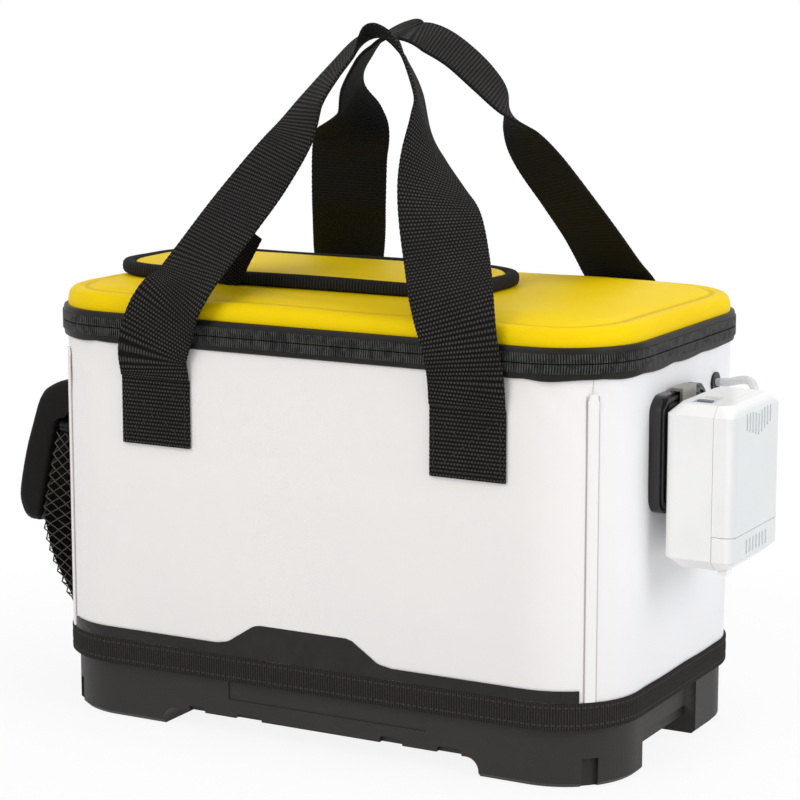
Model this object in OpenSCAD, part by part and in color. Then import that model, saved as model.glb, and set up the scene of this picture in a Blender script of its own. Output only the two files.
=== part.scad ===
// Soft-sided insulated bait station with carry handles and a clip-on aerator.
// Millimetres. X runs along the long front, +X is the aerator's end, +Y is the back, +Z is up.
// The origin is on the floor, under the middle of the body.

/* [Body] */
// Length of the insulated body
body_l = 380; // [370:1:390]
// Depth of the insulated body, front to back
body_w = 220; // [216:1:226]
// Radius of the body's upright corners
corner_r = 50; // [44:1:54]
// Height at which the lid and the body part
parting_z = 243; // [240:1:246]
// Thickness of the foam in the walls
wall_foam = 10; // [8:0.5:12]
// Thickness of the white coated cloth
skin_t = 1.5; // [1:0.1:2]
// Thickness of the inner liner
liner_t = 1.6; // [1.2:0.1:2]

/* [Base] */
// Height of the moulded base tray
tray_h = 35; // [33:0.5:37]
// Height of the base tray's long bottom edge over the floor
tray_clear = 11; // [9:0.5:12]
// Height of the ribbed binding tape over the base tray
tape_h = 16; // [14:0.5:18]

/* [Lid] */
// Height of the lid's padded top over the parting line
lid_h = 23; // [21:0.5:24]
// Length of the quick-access hatch
hatch_l = 256; // [236:1:260]
// Width of the quick-access hatch
hatch_w = 108; // [100:1:112]
// Thickness of the hatch at its bound edge
hatch_t = 7.5; // [6:0.5:8]

/* [Handles] */
// Width of the handle webbing
strap_w = 48; // [44:1:50]
// Thickness of the handle webbing
strap_t = 2.4; // [2:0.1:2.6]
// Distance of each sewn end from the middle of the body
strap_x = 104; // [102:1:106]

/* [Aerator] */
// Depth of the aerator, away from the wall
aer_d = 42; // [41:0.5:44]
// Width of the aerator along the wall
aer_w = 72; // [72:0.5:76]
// Height of the aerator
aer_h = 93.5; // [92:0.5:95]
// Outer diameter of the air tube
tube_d = 5; // [4.8:0.1:5.2]

/* [Hidden] */
$fn = 48;
eps = 0.01;
slice = 0.2;
half_l = body_l / 2;
half_w = body_w / 2;

// Base tray: set in a little from the cloth body above it.
tray_in_x = 1.5;
tray_in_y = 4.5;
tray_l = body_l - 2 * tray_in_x;
tray_w = body_w - 2 * tray_in_y;
tray_r = corner_r - 2;
tray_wall = 10;
tray_floor = 5;
foot_x0 = -104;
foot_x1 = 111;
foot_y0 = -50;
foot_y1 = 30;
side_arch_z = 19;
side_recess = 5;
tray_chamfer = 2.5;
foot_pocket = 3;
notches = [[-80, 12, 14], [-43, 18, 13.5], [54, 15, 15], [92, 16, 14.5]];   // place, width, height
panel_x = [-57, 77];
panel_z = 22;
panel_d = 0.6;
lip_t = 1;
shell_z0 = tray_h + lip_t;
tape_top = tray_h + tape_h;
tape_out = 1.6;

// Walls and lid
gap = 0.15;
body_top = parting_z - gap;
lid_z0 = parting_z + gap;
band_z0 = parting_z - 9;
band_z1 = parting_z + 9;
band_out = 2.5;
teeth_out = 0.8;
teeth_h = 2.5;
hinge_half = 130;
lid_top = parting_z + lid_h;
cover_t = 1.6;
lid_slices = [[lid_z0, 0.1], [parting_z + 14, 0.5], [parting_z + 17.5, 4], [lid_top - 1.4, 22],
    [lid_top, 46]];
liner_in = skin_t + wall_foam;
floor_z = shell_z0 + liner_t;

// Zip slider, on the left side
slider_y = 62;
slider_x = -half_l - band_out - teeth_out - 0.3;
slider_w = 10;
pull_bar_z = parting_z + 1;
pull_l = 20;

// Hatch
hatch_x = -51;
hatch_y = -8;
hatch_r = 44;
hatch_z0 = lid_top + 0.5;
hatch_z1 = hatch_z0 + hatch_t;
hatch_edge = 7;
hatch_inset = 15;
rim_t = 1.5;
tab_x = -98;
tab_w = 26;
tab_h = 35;
tab_t = 2;
tab_lean = 19;
seat = 0.05;   // glue line under trim that lies on a surface
magnet_r = 3.5;
magnet_x = [-75, 75];
magnet_y = hatch_y - hatch_w / 2 + 10.8;

// Handle webbing: where each station of the middle line lies, and the way its width runs.
// The first and last stations are over the sewn ends; the loops meet over the lid.
strap_foot_z = 215;
strap_foot_y = half_w + 2.2;
strap_out_y = half_w + 5;
front_route = [
    [[-102, -strap_foot_y, strap_foot_z], [1, 0, 0]],
    [[-101.5, -strap_out_y, 232], [1, 0, 0]],
    [[-91.5, -117, 255], [1, -0.03, 0]],
    [[-82, -113, 271], [0.97, -0.2, -0.1]],
    [[-75.5, -100, 287], [0.93, -0.31, -0.2]],
    [[-65, -84, 309], [0.92, -0.33, -0.23]],
    [[-54.5, -66, 332], [0.9, -0.38, -0.22]],
    [[-43.5, -53, 354], [0.88, -0.47, -0.1]],
    [[-36, -42, 375], [0.74, -0.68, 0]],
    [[-25, -33, 393], [0.58, -0.81, -0.1]],
    [[-11, -28, 409], [0.5, -0.84, -0.1]],
    [[2, -26, 415], [0.4, -0.85, 0.1]],
    [[13, -27, 411], [0.3, -0.87, 0.3]],
    [[21, -29, 403], [0.25, -0.88, 0.4]],
    [[30, -33, 390], [0.24, -0.87, 0.44]],
    [[40, -41, 370], [0.23, -0.82, 0.5]],
    [[47.5, -49, 357], [0, -0.85, 0.5]],
    [[58, -63, 338], [-0.4, -0.86, 0.3]],
    [[71, -79, 319], [-0.78, -0.6, 0.1]],
    [[83.5, -94, 295], [-0.95, -0.3, 0.03]],
    [[95, -110, 276], [-0.99, -0.12, 0]],
    [[102.5, -117, 256], [-1, 0, 0]],
    [[106, -strap_out_y, 233], [-1, 0, 0]],
    [[106, -strap_foot_y, strap_foot_z], [-1, 0, 0]]];
rear_route = [
    [[-104, strap_foot_y, strap_foot_z], [1, 0, 0]],
    [[-104, strap_out_y, 233], [1, 0, 0]],
    [[-101, 116, 253], [1, 0.05, 0]],
    [[-94, 106, 271], [0.95, 0.2, 0]],
    [[-85, 91, 288], [0.92, 0.35, -0.05]],
    [[-76, 75, 305], [0.9, 0.4, -0.1]],
    [[-68, 62, 334], [0.88, 0.45, -0.1]],
    [[-62, 54, 348], [0.85, 0.5, -0.1]],
    [[-60, 49, 361], [0.4, 0.9, 0]],
    [[-57, 44, 374], [-0.25, 0.95, 0.1]],
    [[-47, 36, 391], [-0.2, 0.95, 0.2]],
    [[-33, 30, 406], [-0.25, 0.94, 0.15]],
    [[-18, 26, 414], [-0.3, 0.94, 0.15]],
    [[-5, 24, 416], [-0.34, 0.93, 0.15]],
    [[8, 29, 412], [-0.32, 0.9, 0.3]],
    [[22, 35, 403], [-0.3, 0.9, 0.32]],
    [[37, 42, 388], [-0.3, 0.9, 0.32]],
    [[48, 48, 373], [-0.4, 0.9, 0.25]],
    [[56, 55, 355], [-0.78, 0.6, 0]],
    [[64, 63, 338], [-0.9, 0.45, -0.12]],
    [[78, 76, 313], [-0.92, 0.4, -0.15]],
    [[88, 92, 290], [-0.94, 0.35, -0.15]],
    [[94, 106, 271], [-0.98, 0.2, -0.08]],
    [[100, 116, 253], [-1, 0, 0]],
    [[102, strap_out_y, 233], [-1, 0, 0]],
    [[102, strap_foot_y, strap_foot_z], [-1, 0, 0]]];
strap_steps = 4;
anchor_z0 = 174;
anchor_t = 2.4;

// Side pocket: profiles are [distance out from the wall, height].
pocket_half = 68;
net_t = 1.6;
net_top = 166;
net_outline = [[0, 54], [5, 55], [11, 59], [21, 77.5], [27, 92], [31, 108], [17, net_top],
    [0, net_top]];
net_inside = [[-1, 58], [5, 58.5], [10, 62], [19, 78.5], [25, 92.5], [29, 108], [15.2, net_top + 1],
    [-1, net_top + 1]];
hem_h = 6;
flap_outline = [[0.5, 186], [7, 185], [14, 180], [19.5, 166], [33.5, 108], [38, 105], [45, 106.5],
    [49.5, 113], [50, 124], [44, 150], [31, 188], [25, 194], [15, 198], [0.5, 199]];

// Aerator and its bracket
bracket_d = 8.5;
bracket_y = [-52, 14];
bracket_z = [151, 219];
bracket_r = 10;
bracket_bar = 8;
bracket_step = 1.6;
bracket_groove = 1.2;
bracket_beads = [3.4, 5];
clip_w = 20;
clip_t = 1.8;
clip_y = -20;
clip_x = half_l + 3.7;
clip_foot_z = 178;
clip_fold_z = bracket_z[1] + 0.4;
slot_d = 2.6;
aer_x0 = half_l + 11;
aer_x1 = aer_x0 + aer_d;
aer_y0 = -56;
aer_y1 = aer_y0 + aer_w;
aer_z0 = 123.5;
aer_z1 = aer_z0 + aer_h;
aer_wall = 2;
aer_seam = aer_x0 + 29;
door_z = aer_z0 + 20;
aer_bevel = 6;
switch_y = -34;
switch_x = aer_x0 + 17;
cell_r = 16.2;
cell_h = 58;
cell_x = aer_x0 + 19;
cell_z = aer_z0 + 7.4;
pump_z = cell_z + cell_h + 3;

// Air tube
grommet_y = 45;
grommet_z = 213;
grommet_r = 6;
grommet_bore = 3.1;
outlet_x = aer_x0 + 10;
outlet_z = 190;
outlet_tip = aer_y1 + 5;
tube_floor = floor_z + tube_d / 2 + 0.4;
stone_x = -30;
stone_y = -39;
stone_r = 7;
stone_z = floor_z + stone_r + 0.1;
tube_outer_route = [[191.5, 45, 213], [199, 45, 213.5], [207, 44.5, 215.5], [213.5, 42.5, 215.5],
    [217.5, 39.5, 211.5], [218, 37, 205], [216, 34.5, 198], [213, 31, 192.5],
    [outlet_x, 26.5, outlet_z], [outlet_x, outlet_tip + 0.35, outlet_z]];
tube_inner_route = [[175.2, 45, 213], [169, 45, 212], [164.5, 45, 206], [165, 45, 192],
    [168, 44, 165], [169, 43, 130], [168, 41, 95], [165, 38, 66], [157, 33, 48],
    [142, 24, tube_floor + 0.5], [120, 8, tube_floor], [92, -10, tube_floor],
    [60, -26, tube_floor], [28, -36, tube_floor], [2, -39, tube_floor + 1.5],
    [-16, -39, stone_z], [stone_x + 0.2, stone_y, stone_z]];

// ---------- shapes used more than once ----------

// A rectangle with rounded corners, centred, from squares and true circles.
module rounded_rect(l, w, r) {
    square([l - 2 * r, w], center = true);
    square([l, w - 2 * r], center = true);
    for (sx = [-1, 1], sy = [-1, 1])
        translate([sx * (l / 2 - r), sy * (w / 2 - r)])
            circle(r = r);
}

// The body's outline, grown outward by a distance, between two heights.
module body_slab(out, z0, z1) {
    translate([0, 0, z0])
        linear_extrude(z1 - z0)
            rounded_rect(body_l + 2 * out, body_w + 2 * out, corner_r + out);
}

// A ring round the body, from one growth to another, between two heights.
module body_ring(inner, outer, z0, z1) {
    difference() {
        body_slab(outer, z0, z1);
        body_slab(inner, z0 - 1, z1 + 1);
    }
}

// Outline of the hatch, drawn in by a distance, between two heights.
module hatch_slab(inset, z0, z1) {
    translate([hatch_x, hatch_y, z0])
        linear_extrude(z1 - z0)
            rounded_rect(hatch_l - 2 * inset, hatch_w - 2 * inset, hatch_r - inset);
}

// The lid's crowned outside, drawn in by a distance.
module lid_dome(inset) {
    hull()
        for (s = lid_slices)
            translate([0, 0, s[0] == lid_z0 ? s[0] : s[0] - inset])
                linear_extrude(eps)
                    rounded_rect(body_l - 2 * (s[1] + inset), body_w - 2 * (s[1] + inset),
                        corner_r - inset - s[1] * 0.4, $fn = 40);
}

// The outline of something on the left wall, as an upright prism along Y.
module wall_prism(outline, y_half) {
    translate([-half_l, y_half, 0])
        rotate([90, 0, 0])
            linear_extrude(2 * y_half)
                polygon([for (p = outline) [-p[0], p[1]]]);
}

module y_tube(r, y0, y1) {
    translate([0, y0, 0])
        rotate([-90, 0, 0])
            cylinder(r = r, h = y1 - y0);
}

module x_tube(r, x0, x1) {
    translate([x0, 0, 0])
        rotate([0, 90, 0])
            cylinder(r = r, h = x1 - x0);
}

// ---------- curves ----------

function unit(v) = v / norm(v);
function spline(a, b, c, d, t) =
    0.5 * (2 * b + (c - a) * t + (2 * a - 5 * b + 4 * c - d) * t * t
        + (3 * b - a - 3 * c + d) * t * t * t);
// Smooth points through a list of stations.
function smooth(p, n) = let (last = len(p) - 1)
    [for (i = [0 : last - 1], k = [0 : n - 1])
        spline(i == 0 ? 2 * p[0] - p[1] : p[i - 1], p[i], p[i + 1],
            i == last - 1 ? 2 * p[last] - p[last - 1] : p[i + 2], k / n),
     p[last]];
// The way a list of points runs at one of them.
function heading(p, i) = unit(p[min(i + 1, len(p) - 1)] - p[max(i - 1, 0)]);
// Faces of a closed tube of rings, each with a number of sides.
function tube_faces(rings, sides) = concat(
    [[for (k = [0 : sides - 1]) k]],
    [for (i = [0 : rings - 2], k = [0 : sides - 1])
        [i * sides + k, (i + 1) * sides + (k + 1) % sides, i * sides + (k + 1) % sides]],
    [for (i = [0 : rings - 2], k = [0 : sides - 1])
        [i * sides + k, (i + 1) * sides + k, (i + 1) * sides + (k + 1) % sides]],
    [[for (k = [sides - 1 : -1 : 0]) (rings - 1) * sides + k]]);

// Flat webbing along a route of [place, way its width runs].
module webbing(route) {
    mid = smooth([for (s = route) s[0]], strap_steps);
    way = smooth([for (s = route) s[1]], strap_steps);
    points = [for (i = [0 : len(mid) - 1])
        let (t = heading(mid, i), across = unit(way[i] - (way[i] * t) * t), up = cross(t, across))
            for (c = [[-1, -1], [1, -1], [1, 1], [-1, 1]])
                mid[i] + c[0] * across * strap_w / 2 + c[1] * up * strap_t / 2];
    polyhedron(points, tube_faces(len(mid), 4));
}

// A round tube along a route, with 8 sides.
module round_tube(route, d, n) {
    mid = smooth(route, n);
    points = [for (i = [0 : len(mid) - 1])
        let (t = heading(mid, i), a = unit(cross(t, [0.3, 0.85, 0.42])), b = cross(t, a))
            for (k = [0 : 7])
                mid[i] + d / 2 * (cos(45 * k) * a + sin(45 * k) * b)];
    polyhedron(points, tube_faces(len(mid), 8));
}

// ---------- base ----------

// The shape cut from under one side, with rounded shoulders, seen from the front.
module arch_outline(x0, x1, h, r) {
    translate([x0, -1])
        square([x1 - x0, h - r + 1]);
    translate([x0 + r, -1])
        square([x1 - x0 - 2 * r, h + 1]);
    for (x = [x0 + r, x1 - r])
        translate([x, h - r])
            circle(r = r);
}

// Pockets moulded up into one foot, in the quarter given by its signs.
module foot_pockets(sx, sy) {
    x_in = sx < 0 ? -foot_x0 : foot_x1;
    y_in = sy < 0 ? -foot_y0 : foot_y1 + 4;
    mid_x = (x_in + tray_l / 2) / 2;
    mid_y = (y_in + tray_w / 2) / 2;
    for (px = [-1, 1], py = [-1, 1])
        if (px < 0 || py < 0)
            translate([sx * (mid_x + px * 15) - 12, sy * (mid_y + py * 11) - 8, -1])
                cube([24, 16, foot_pocket]);
}

module base_tray() {
    color("#33322f")
        difference() {
            hull() {
                linear_extrude(eps)
                    rounded_rect(tray_l - 2 * tray_chamfer, tray_w - 2 * tray_chamfer,
                        tray_r - tray_chamfer, $fn = 96);
                translate([0, 0, tray_chamfer])
                    linear_extrude(tray_h - tray_chamfer)
                        rounded_rect(tray_l, tray_w, tray_r, $fn = 96);
            }
            // bare panel in the middle of the front
            translate([panel_x[0], -tray_w / 2 - 1, panel_z])
                cube([panel_x[1] - panel_x[0], 1 + panel_d, tray_h]);
            translate([0, 0, tray_clear + tray_floor])
                linear_extrude(tray_h)
                    rounded_rect(tray_l - 2 * tray_wall, tray_w - 2 * tray_wall, tray_r - tray_wall);
            // long arches at the front and back
            translate([0, body_w, 0])
                rotate([90, 0, 0])
                    linear_extrude(2 * body_w)
                        arch_outline(foot_x0, foot_x1, tray_clear, 8);
            // the space between the feet, from end to end
            translate([-body_l, foot_y0, -1])
                cube([2 * body_l, foot_y1 - foot_y0, tray_clear + 1]);
            // end walls set back between the feet
            for (s = [-1, 1])
                translate([s * tray_l / 2, (foot_y0 + foot_y1) / 2, -1])
                    linear_extrude(tray_h + 2)
                        rounded_rect(2 * side_recess, foot_y1 - foot_y0, side_recess - 0.1);
            for (s = [-1, 1])
                translate([s > 0 ? tray_l / 2 - tray_wall + 2 : -tray_l / 2 - 1, 0, 0])
                    rotate([90, 0, 90])
                        linear_extrude(tray_wall - 1)
                            arch_outline(foot_y0, foot_y1, side_arch_z, 8);
            // drain notches along the bottom edge
            for (n = notches, s = [-1, 1])
                translate([0, s > 0 ? tray_w / 2 + 1 : 3 - tray_w / 2, 0])
                    rotate([90, 0, 0])
                        linear_extrude(4)
                            arch_outline(n[0] - n[1] / 2, n[0] + n[1] / 2, n[2], 2, $fn = 16);
            // slots at the corners
            for (sx = [-1, 1], sy = [-1, 1])
                translate([sx * (tray_l / 2 - tray_r), sy * (tray_w / 2 - tray_r), -1])
                    rotate([0, 0, sx * sy * 45])
                        translate([sx > 0 ? tray_r - 4 : -tray_r - 2, -5, 0])
                            cube([6, 10, 18]);
            for (sx = [-1, 1], sy = [-1, 1])
                foot_pockets(sx, sy);
        }
}

module base_insulation() {
    color("#e9e4d4")
        translate([0, 0, tray_clear + tray_floor])
            linear_extrude(shell_z0 - tray_clear - tray_floor)
                rounded_rect(tray_l - 2 * tray_wall, tray_w - 2 * tray_wall, tray_r - tray_wall);
}

// ---------- walls ----------

// The hole for the tube grommet through the right wall.
module grommet_hole() {
    translate([0, grommet_y, grommet_z])
        x_tube(grommet_r - 2, half_l - 20, half_l + 5);
}

module wall_insulation() {
    color("#efe9da")
        difference() {
            body_ring(-liner_in, -skin_t, shell_z0, body_top - liner_t);
            grommet_hole();
        }
}

module inner_liner() {
    color("#dfe3e4")
        difference() {
            union() {
                body_slab(-liner_in, shell_z0, body_top);
                // rim that covers the foam
                body_slab(-skin_t, body_top - liner_t, body_top);
            }
            body_slab(-liner_in - liner_t, floor_z, body_top + 1);
            grommet_hole();
        }
}

module outer_shell() {
    color("#f1eeec")
        difference() {
            body_ring(-skin_t, 0, shell_z0, body_top);
            grommet_hole();
        }
}

module corner_welts() {
    color("#f4f2f1")
        for (sx = [-1, 1], sy = [-1, 1])
            translate([sx * (half_l - corner_r), sy * (half_w - corner_r), 0])
                intersection() {
                    difference() {
                        translate([0, 0, tape_top])
                            cylinder(r = corner_r + 1.3, h = 226 - tape_top);
                        cylinder(r = corner_r + seat, h = 300);
                    }
                    rotate([0, 0, sx * sy * 45])
                        translate([sx > 0 ? corner_r - 2 : -corner_r - 4, -3.2, 0])
                            cube([6, 6.4, 300]);
                }
}

module binding_tape() {
    color("#1d1b1a")
        difference() {
            body_slab(tape_out, tray_h, tape_top);
            body_slab(0, shell_z0, tape_top + 1);
            body_slab(-10, tray_h - 1, shell_z0 + 1);
        }
}

module kick_band() {
    color("#26251f") {
        intersection() {
            body_ring(seat, 1, tape_top, tape_top + 7);
            translate([-half_l + 19, -half_w - 5, 0])
                cube([body_l - 38, 40, 100]);
        }
        translate([0, -half_w - seat, 0])
            rotate([90, 0, 0])
                linear_extrude(1 - seat)
                    polygon([[-62, 58], [-54, 59.5], [-36, 71], [-32, 72], [27, 72], [31, 71],
                        [48, 59.5], [57, 58]]);
    }
}

// ---------- zip ----------

// A ring cut away at the back, where the lid is hinged.
module zip_ring(inner, outer, z0, z1) {
    difference() {
        body_ring(inner, outer, z0, z1);
        translate([-hinge_half, 0, z0 - 1])
            cube([2 * hinge_half, body_w, z1 - z0 + 2]);
    }
}

module lower_zip_tape() {
    color("#1a1a1a") zip_ring(0, band_out, band_z0, body_top);
}

module lower_zip_teeth() {
    color("#4a4a4a") zip_ring(band_out, band_out + teeth_out, body_top - teeth_h, body_top);
}

module upper_zip_tape() {
    color("#1a1a1a") zip_ring(0, band_out, lid_z0, band_z1);
}

module upper_zip_teeth() {
    color("#4a4a4a") zip_ring(band_out, band_out + teeth_out, lid_z0, lid_z0 + teeth_h);
}

module lid_hinge_strip() {
    color("#202020")
        translate([-hinge_half + 0.2, half_w, band_z0])
            cube([2 * hinge_half - 0.4, band_out, band_z1 - band_z0]);
}

// A plate over the teeth, with two lugs that hold the pull's bar.
module zip_slider() {
    color("#55565a") {
        translate([slider_x - 2, slider_y - slider_w / 2, parting_z - 6])
            cube([2, slider_w, 12]);
        for (y = [slider_y - slider_w / 2, slider_y + slider_w / 2 - 1.6])
            translate([slider_x - 5.4, y, pull_bar_z - 4])
                cube([3.4, 1.6, 8]);
        translate([slider_x - 4, 0, pull_bar_z])
            y_tube(0.8, slider_y - slider_w / 2, slider_y + slider_w / 2);
    }
}

module zip_pull() {
    color("#2a2a2a")
        translate([slider_x - 4, slider_y, pull_bar_z])
            difference() {
                union() {
                    translate([-0.9, -3, -pull_l])
                        cube([1.8, 6, pull_l]);
                    translate([-0.9, -slider_w / 2, -pull_l])
                        cube([1.8, slider_w, pull_l - 7]);
                    y_tube(1.7, -3, 3);
                }
                y_tube(0.9, -4, 4);
                translate([-2, -2.5, -pull_l + 3])
                    cube([4, 5, 7]);
            }
}

// ---------- handles ----------

// The flat sewn ends of one handle, at the front (-1) or back (1).
module strap_anchors(side) {
    for (s = [-1, 1])
        translate([s * strap_x - strap_w / 2, side > 0 ? half_w : -half_w - anchor_t, anchor_z0])
            cube([strap_w, anchor_t, strap_foot_z - anchor_z0 - 0.9]);
}

module front_strap_anchors() {
    color("#1b1a19") strap_anchors(-1);
}

module rear_strap_anchors() {
    color("#1b1a19") strap_anchors(1);
}

module front_handle() {
    color("#201e1d") webbing(front_route);
}

module rear_handle() {
    color("#201e1d") webbing(rear_route);
}

// ---------- lid ----------

module hatch_hole() {
    hatch_slab(hatch_inset, lid_z0 - 1, lid_top + 1);
}

module lid_cover() {
    color("#f2d223")
        difference() {
            lid_dome(0);
            lid_dome(cover_t);
            translate([0, 0, lid_z0 - 1])
                linear_extrude(2)
                    rounded_rect(body_l - 2 * cover_t - 0.2, body_w - 2 * cover_t - 0.2, corner_r - cover_t, $fn = 40);
            hatch_hole();
        }
}

module lid_insulation() {
    color("#efe9da")
        difference() {
            lid_dome(cover_t);
            translate([0, 0, lid_z0 - 1])
                linear_extrude(1 + liner_t)
                    square([body_l + 10, body_w + 10], center = true);
            hatch_hole();
            catch_holes();
        }
}

module lid_liner() {
    color("#dfe3e4")
        difference() {
            intersection() {
                lid_dome(cover_t);
                translate([0, 0, lid_z0 - 1])
                    linear_extrude(1 + liner_t)
                        square([body_l + 10, body_w + 10], center = true);
            }
            hatch_hole();
        }
}

module hatch_rim() {
    color("#1c1c1c")
        difference() {
            hatch_slab(hatch_inset + seat, lid_z0, lid_top);
            hatch_slab(hatch_inset + rim_t, lid_z0 - 1, lid_top + 1);
        }
}

// Steel discs set in the lid's foam for the hatch's magnets, near its front edge.
module catch_holes() {
    for (x = magnet_x)
        translate([hatch_x + x, magnet_y, lid_top - cover_t - 1.2])
            cylinder(r = magnet_r, h = 1.2 + eps);
}

module catch_plates() {
    color("#a8abb0")
        for (x = magnet_x)
            translate([hatch_x + x, magnet_y, lid_top - cover_t - 1.2])
                cylinder(r = magnet_r, h = 1.1);
}

// ---------- hatch ----------

module hatch_panel() {
    color("#f2d223")
        hatch_slab(hatch_edge, hatch_z0 + 1.6, hatch_z1 - 0.8);
}

module hatch_binding() {
    color("#1b1b1a")
        difference() {
            hatch_slab(0, hatch_z0, hatch_z1);
            hatch_slab(hatch_edge, hatch_z0 - 1, hatch_z1 + 1);
        }
}

module hatch_underside() {
    color("#2a2a2a")
        difference() {
            hatch_slab(hatch_edge, hatch_z0, hatch_z0 + 1.6);
            hatch_magnet_holes();
        }
}

module hatch_magnet_holes() {
    for (x = magnet_x)
        translate([hatch_x + x, magnet_y, hatch_z0 - 0.1])
            cylinder(r = magnet_r, h = 1.3);
}

module hatch_magnets() {
    color("#8d9096")
        for (x = magnet_x)
            translate([hatch_x + x, magnet_y, hatch_z0])
                cylinder(r = magnet_r - 0.05, h = 1.1);
}

// A folded webbing tab on the hatch's front edge, leaning towards the middle.
module hatch_pull_tab() {
    color("#1b1b1a")
        translate([tab_x, hatch_y - hatch_w / 2, hatch_z0 + 0.5])
            rotate([90, 0, 0])
                linear_extrude(tab_t)
                    polygon([[0, 0], [tab_w, 0], [tab_w + tab_lean, tab_h - 2], [tab_lean, tab_h]]);
}

module hatch_hinge_strip() {
    color("#202020")
        translate([hatch_x - 70, hatch_y + hatch_w / 2, hatch_z0 - 0.4])
            cube([140, 9, 1]);
}

// ---------- side pocket ----------

module pocket_net() {
    color("#1e1e1e")
        difference() {
            wall_prism(net_outline, pocket_half);
            wall_prism(net_inside, pocket_half - net_t);
        }
}

module pocket_hem() {
    color("#1b1b1b")
        difference() {
            wall_prism([[0, net_top], [17.2, net_top], [15.8, net_top + hem_h], [0, net_top + hem_h]],
                pocket_half);
            wall_prism([[-1, net_top - 1], [15.2, net_top - 1], [13.6, net_top + hem_h + 1],
                [-1, net_top + hem_h + 1]], pocket_half - net_t);
        }
}

module pocket_flap() {
    color("#242322") wall_prism(flap_outline, pocket_half + 1);
}

// ---------- bracket and grommet ----------

// The bracket's rounded outline on the right wall, drawn in by a distance.
module bracket_slab(inset, x0, x1) {
    translate([x0, (bracket_y[0] + bracket_y[1]) / 2, (bracket_z[0] + bracket_z[1]) / 2])
        rotate([90, 0, 90])
            linear_extrude(x1 - x0)
                rounded_rect(bracket_y[1] - bracket_y[0] - 2 * inset,
                    bracket_z[1] - bracket_z[0] - 2 * inset, bracket_r - inset * 0.6);
}

module bracket_frame() {
    color("#1c1d1e")
        difference() {
            union() {
                bracket_slab(0, half_l, half_l + bracket_d - bracket_step);
                bracket_slab(bracket_step, half_l, half_l + bracket_d);
            }
            bracket_slab(bracket_bar, half_l + 2.2, half_l + bracket_d + 1);
            // groove between the two beads of the rim
            difference() {
                bracket_slab(bracket_beads[0], half_l + bracket_d - bracket_groove, aer_x0);
                bracket_slab(bracket_beads[1], half_l, aer_x0 + 1);
            }
            // slot for the clip, behind the top bar
            translate([clip_x - 0.4, clip_y - clip_w / 2 - 1.5, bracket_z[1] - bracket_bar - 1])
                cube([slot_d, clip_w + 3, bracket_bar + 2]);
            for (y = [bracket_y[0] + 14, bracket_y[1] - 14])
                translate([0, y, bracket_z[0] + 20])
                    x_tube(1.6, half_l - 1, half_l + 5);
        }
}

module bracket_screws() {
    color("#7d8084")
        for (y = [bracket_y[0] + 14, bracket_y[1] - 14])
            translate([0, y, bracket_z[0] + 20]) {
                x_tube(1.6, half_l, half_l + 2.2);
                x_tube(3.2, half_l + 2.2, half_l + 4);
            }
}

module tube_grommet() {
    color("#202428")
        translate([0, grommet_y, grommet_z])
            difference() {
                union() {
                    x_tube(grommet_r - 2, half_l - liner_in - liner_t, half_l);
                    x_tube(grommet_r, half_l, half_l + 1.5);
                    x_tube(grommet_r, half_l - liner_in - liner_t - 1.5, half_l - liner_in - liner_t);
                }
                x_tube(grommet_bore, half_l - 30, half_l + 5);
            }
}

// ---------- aerator ----------

// The aerator's bevelled outside, drawn in by a distance.
module aerator_block(inset) {
    translate([(aer_x0 + aer_x1) / 2, (aer_y0 + aer_y1) / 2, 0])
        hull()
            for (s = [[aer_z0 + inset, aer_bevel], [aer_z0 + aer_bevel + inset / 2, 0],
                    [aer_z1 - aer_bevel - inset / 2, 0], [aer_z1 - inset, aer_bevel]])
                translate([0, 0, s[0] < 150 ? s[0] : s[0] - slice])
                    linear_extrude(slice)
                        rounded_rect(aer_d - 2 * (s[1] + inset), aer_w - 2 * (s[1] + inset),
                            6 - inset, $fn = 32);
}

module aerator_wall() {
    difference() {
        aerator_block(0);
        aerator_block(aer_wall);
    }
}

module switch_well() {
    translate([switch_x - 6, switch_y - 10, aer_z1 - 4])
        cube([12, 20, 6]);
}

module aerator_back_shell() {
    color("#f3f1ef")
        difference() {
            union() {
                intersection() {
                    aerator_wall();
                    translate([aer_x0 - 1, aer_y0 - 1, aer_z0 - 1])
                        cube([aer_seam - aer_x0 + 1, aer_w + 2, aer_h + 2]);
                }
                // floor of the well that the switch slides in
                translate([switch_x - 8, switch_y - 12, aer_z1 - 5.5])
                    cube([16, 24, 4]);
            }
            switch_well();
            translate([switch_x - 2, switch_y - 6, aer_z1 - 8])
                cube([4, 12, 8]);
            translate([outlet_x, 0, outlet_z])
                y_tube(2, aer_y1 - 5, aer_y1 + 2);
        }
}

module aerator_front_shell() {
    color("#eef0f1")
        difference() {
            intersection() {
                aerator_wall();
                translate([aer_seam + 0.2, aer_y0 - 1, door_z + 0.3])
                    cube([aer_d, aer_w + 2, aer_h]);
            }
            // grip flutes at the top of the outer face
            for (k = [-4 : 4])
                translate([0, (aer_y0 + aer_y1) / 2 + k * 4.5, 0])
                    translate([aer_x1 - 0.6, -1.2, aer_z1 - 20 + abs(k) * 1.2])
                        cube([2, 2.4, 12]);
        }
}

module battery_door() {
    color("#eceeef") {
        difference() {
            intersection() {
                aerator_wall();
                translate([aer_seam + 0.3, aer_y0 - 1, aer_z0 - 1])
                    cube([aer_d, aer_w + 2, door_z - aer_z0 + 1]);
            }
            for (k = [-3 : 3])
                translate([aer_x1 - 0.6, (aer_y0 + aer_y1) / 2 + k * 5 - 1.2, aer_z0 + 8])
                    cube([2, 2.4, 8]);
        }
        // thumb tab under the front corner
        translate([aer_seam + 1.5, aer_y0 + 8, aer_z0 - 3])
            cube([5, 9, 3]);
    }
}

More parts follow.
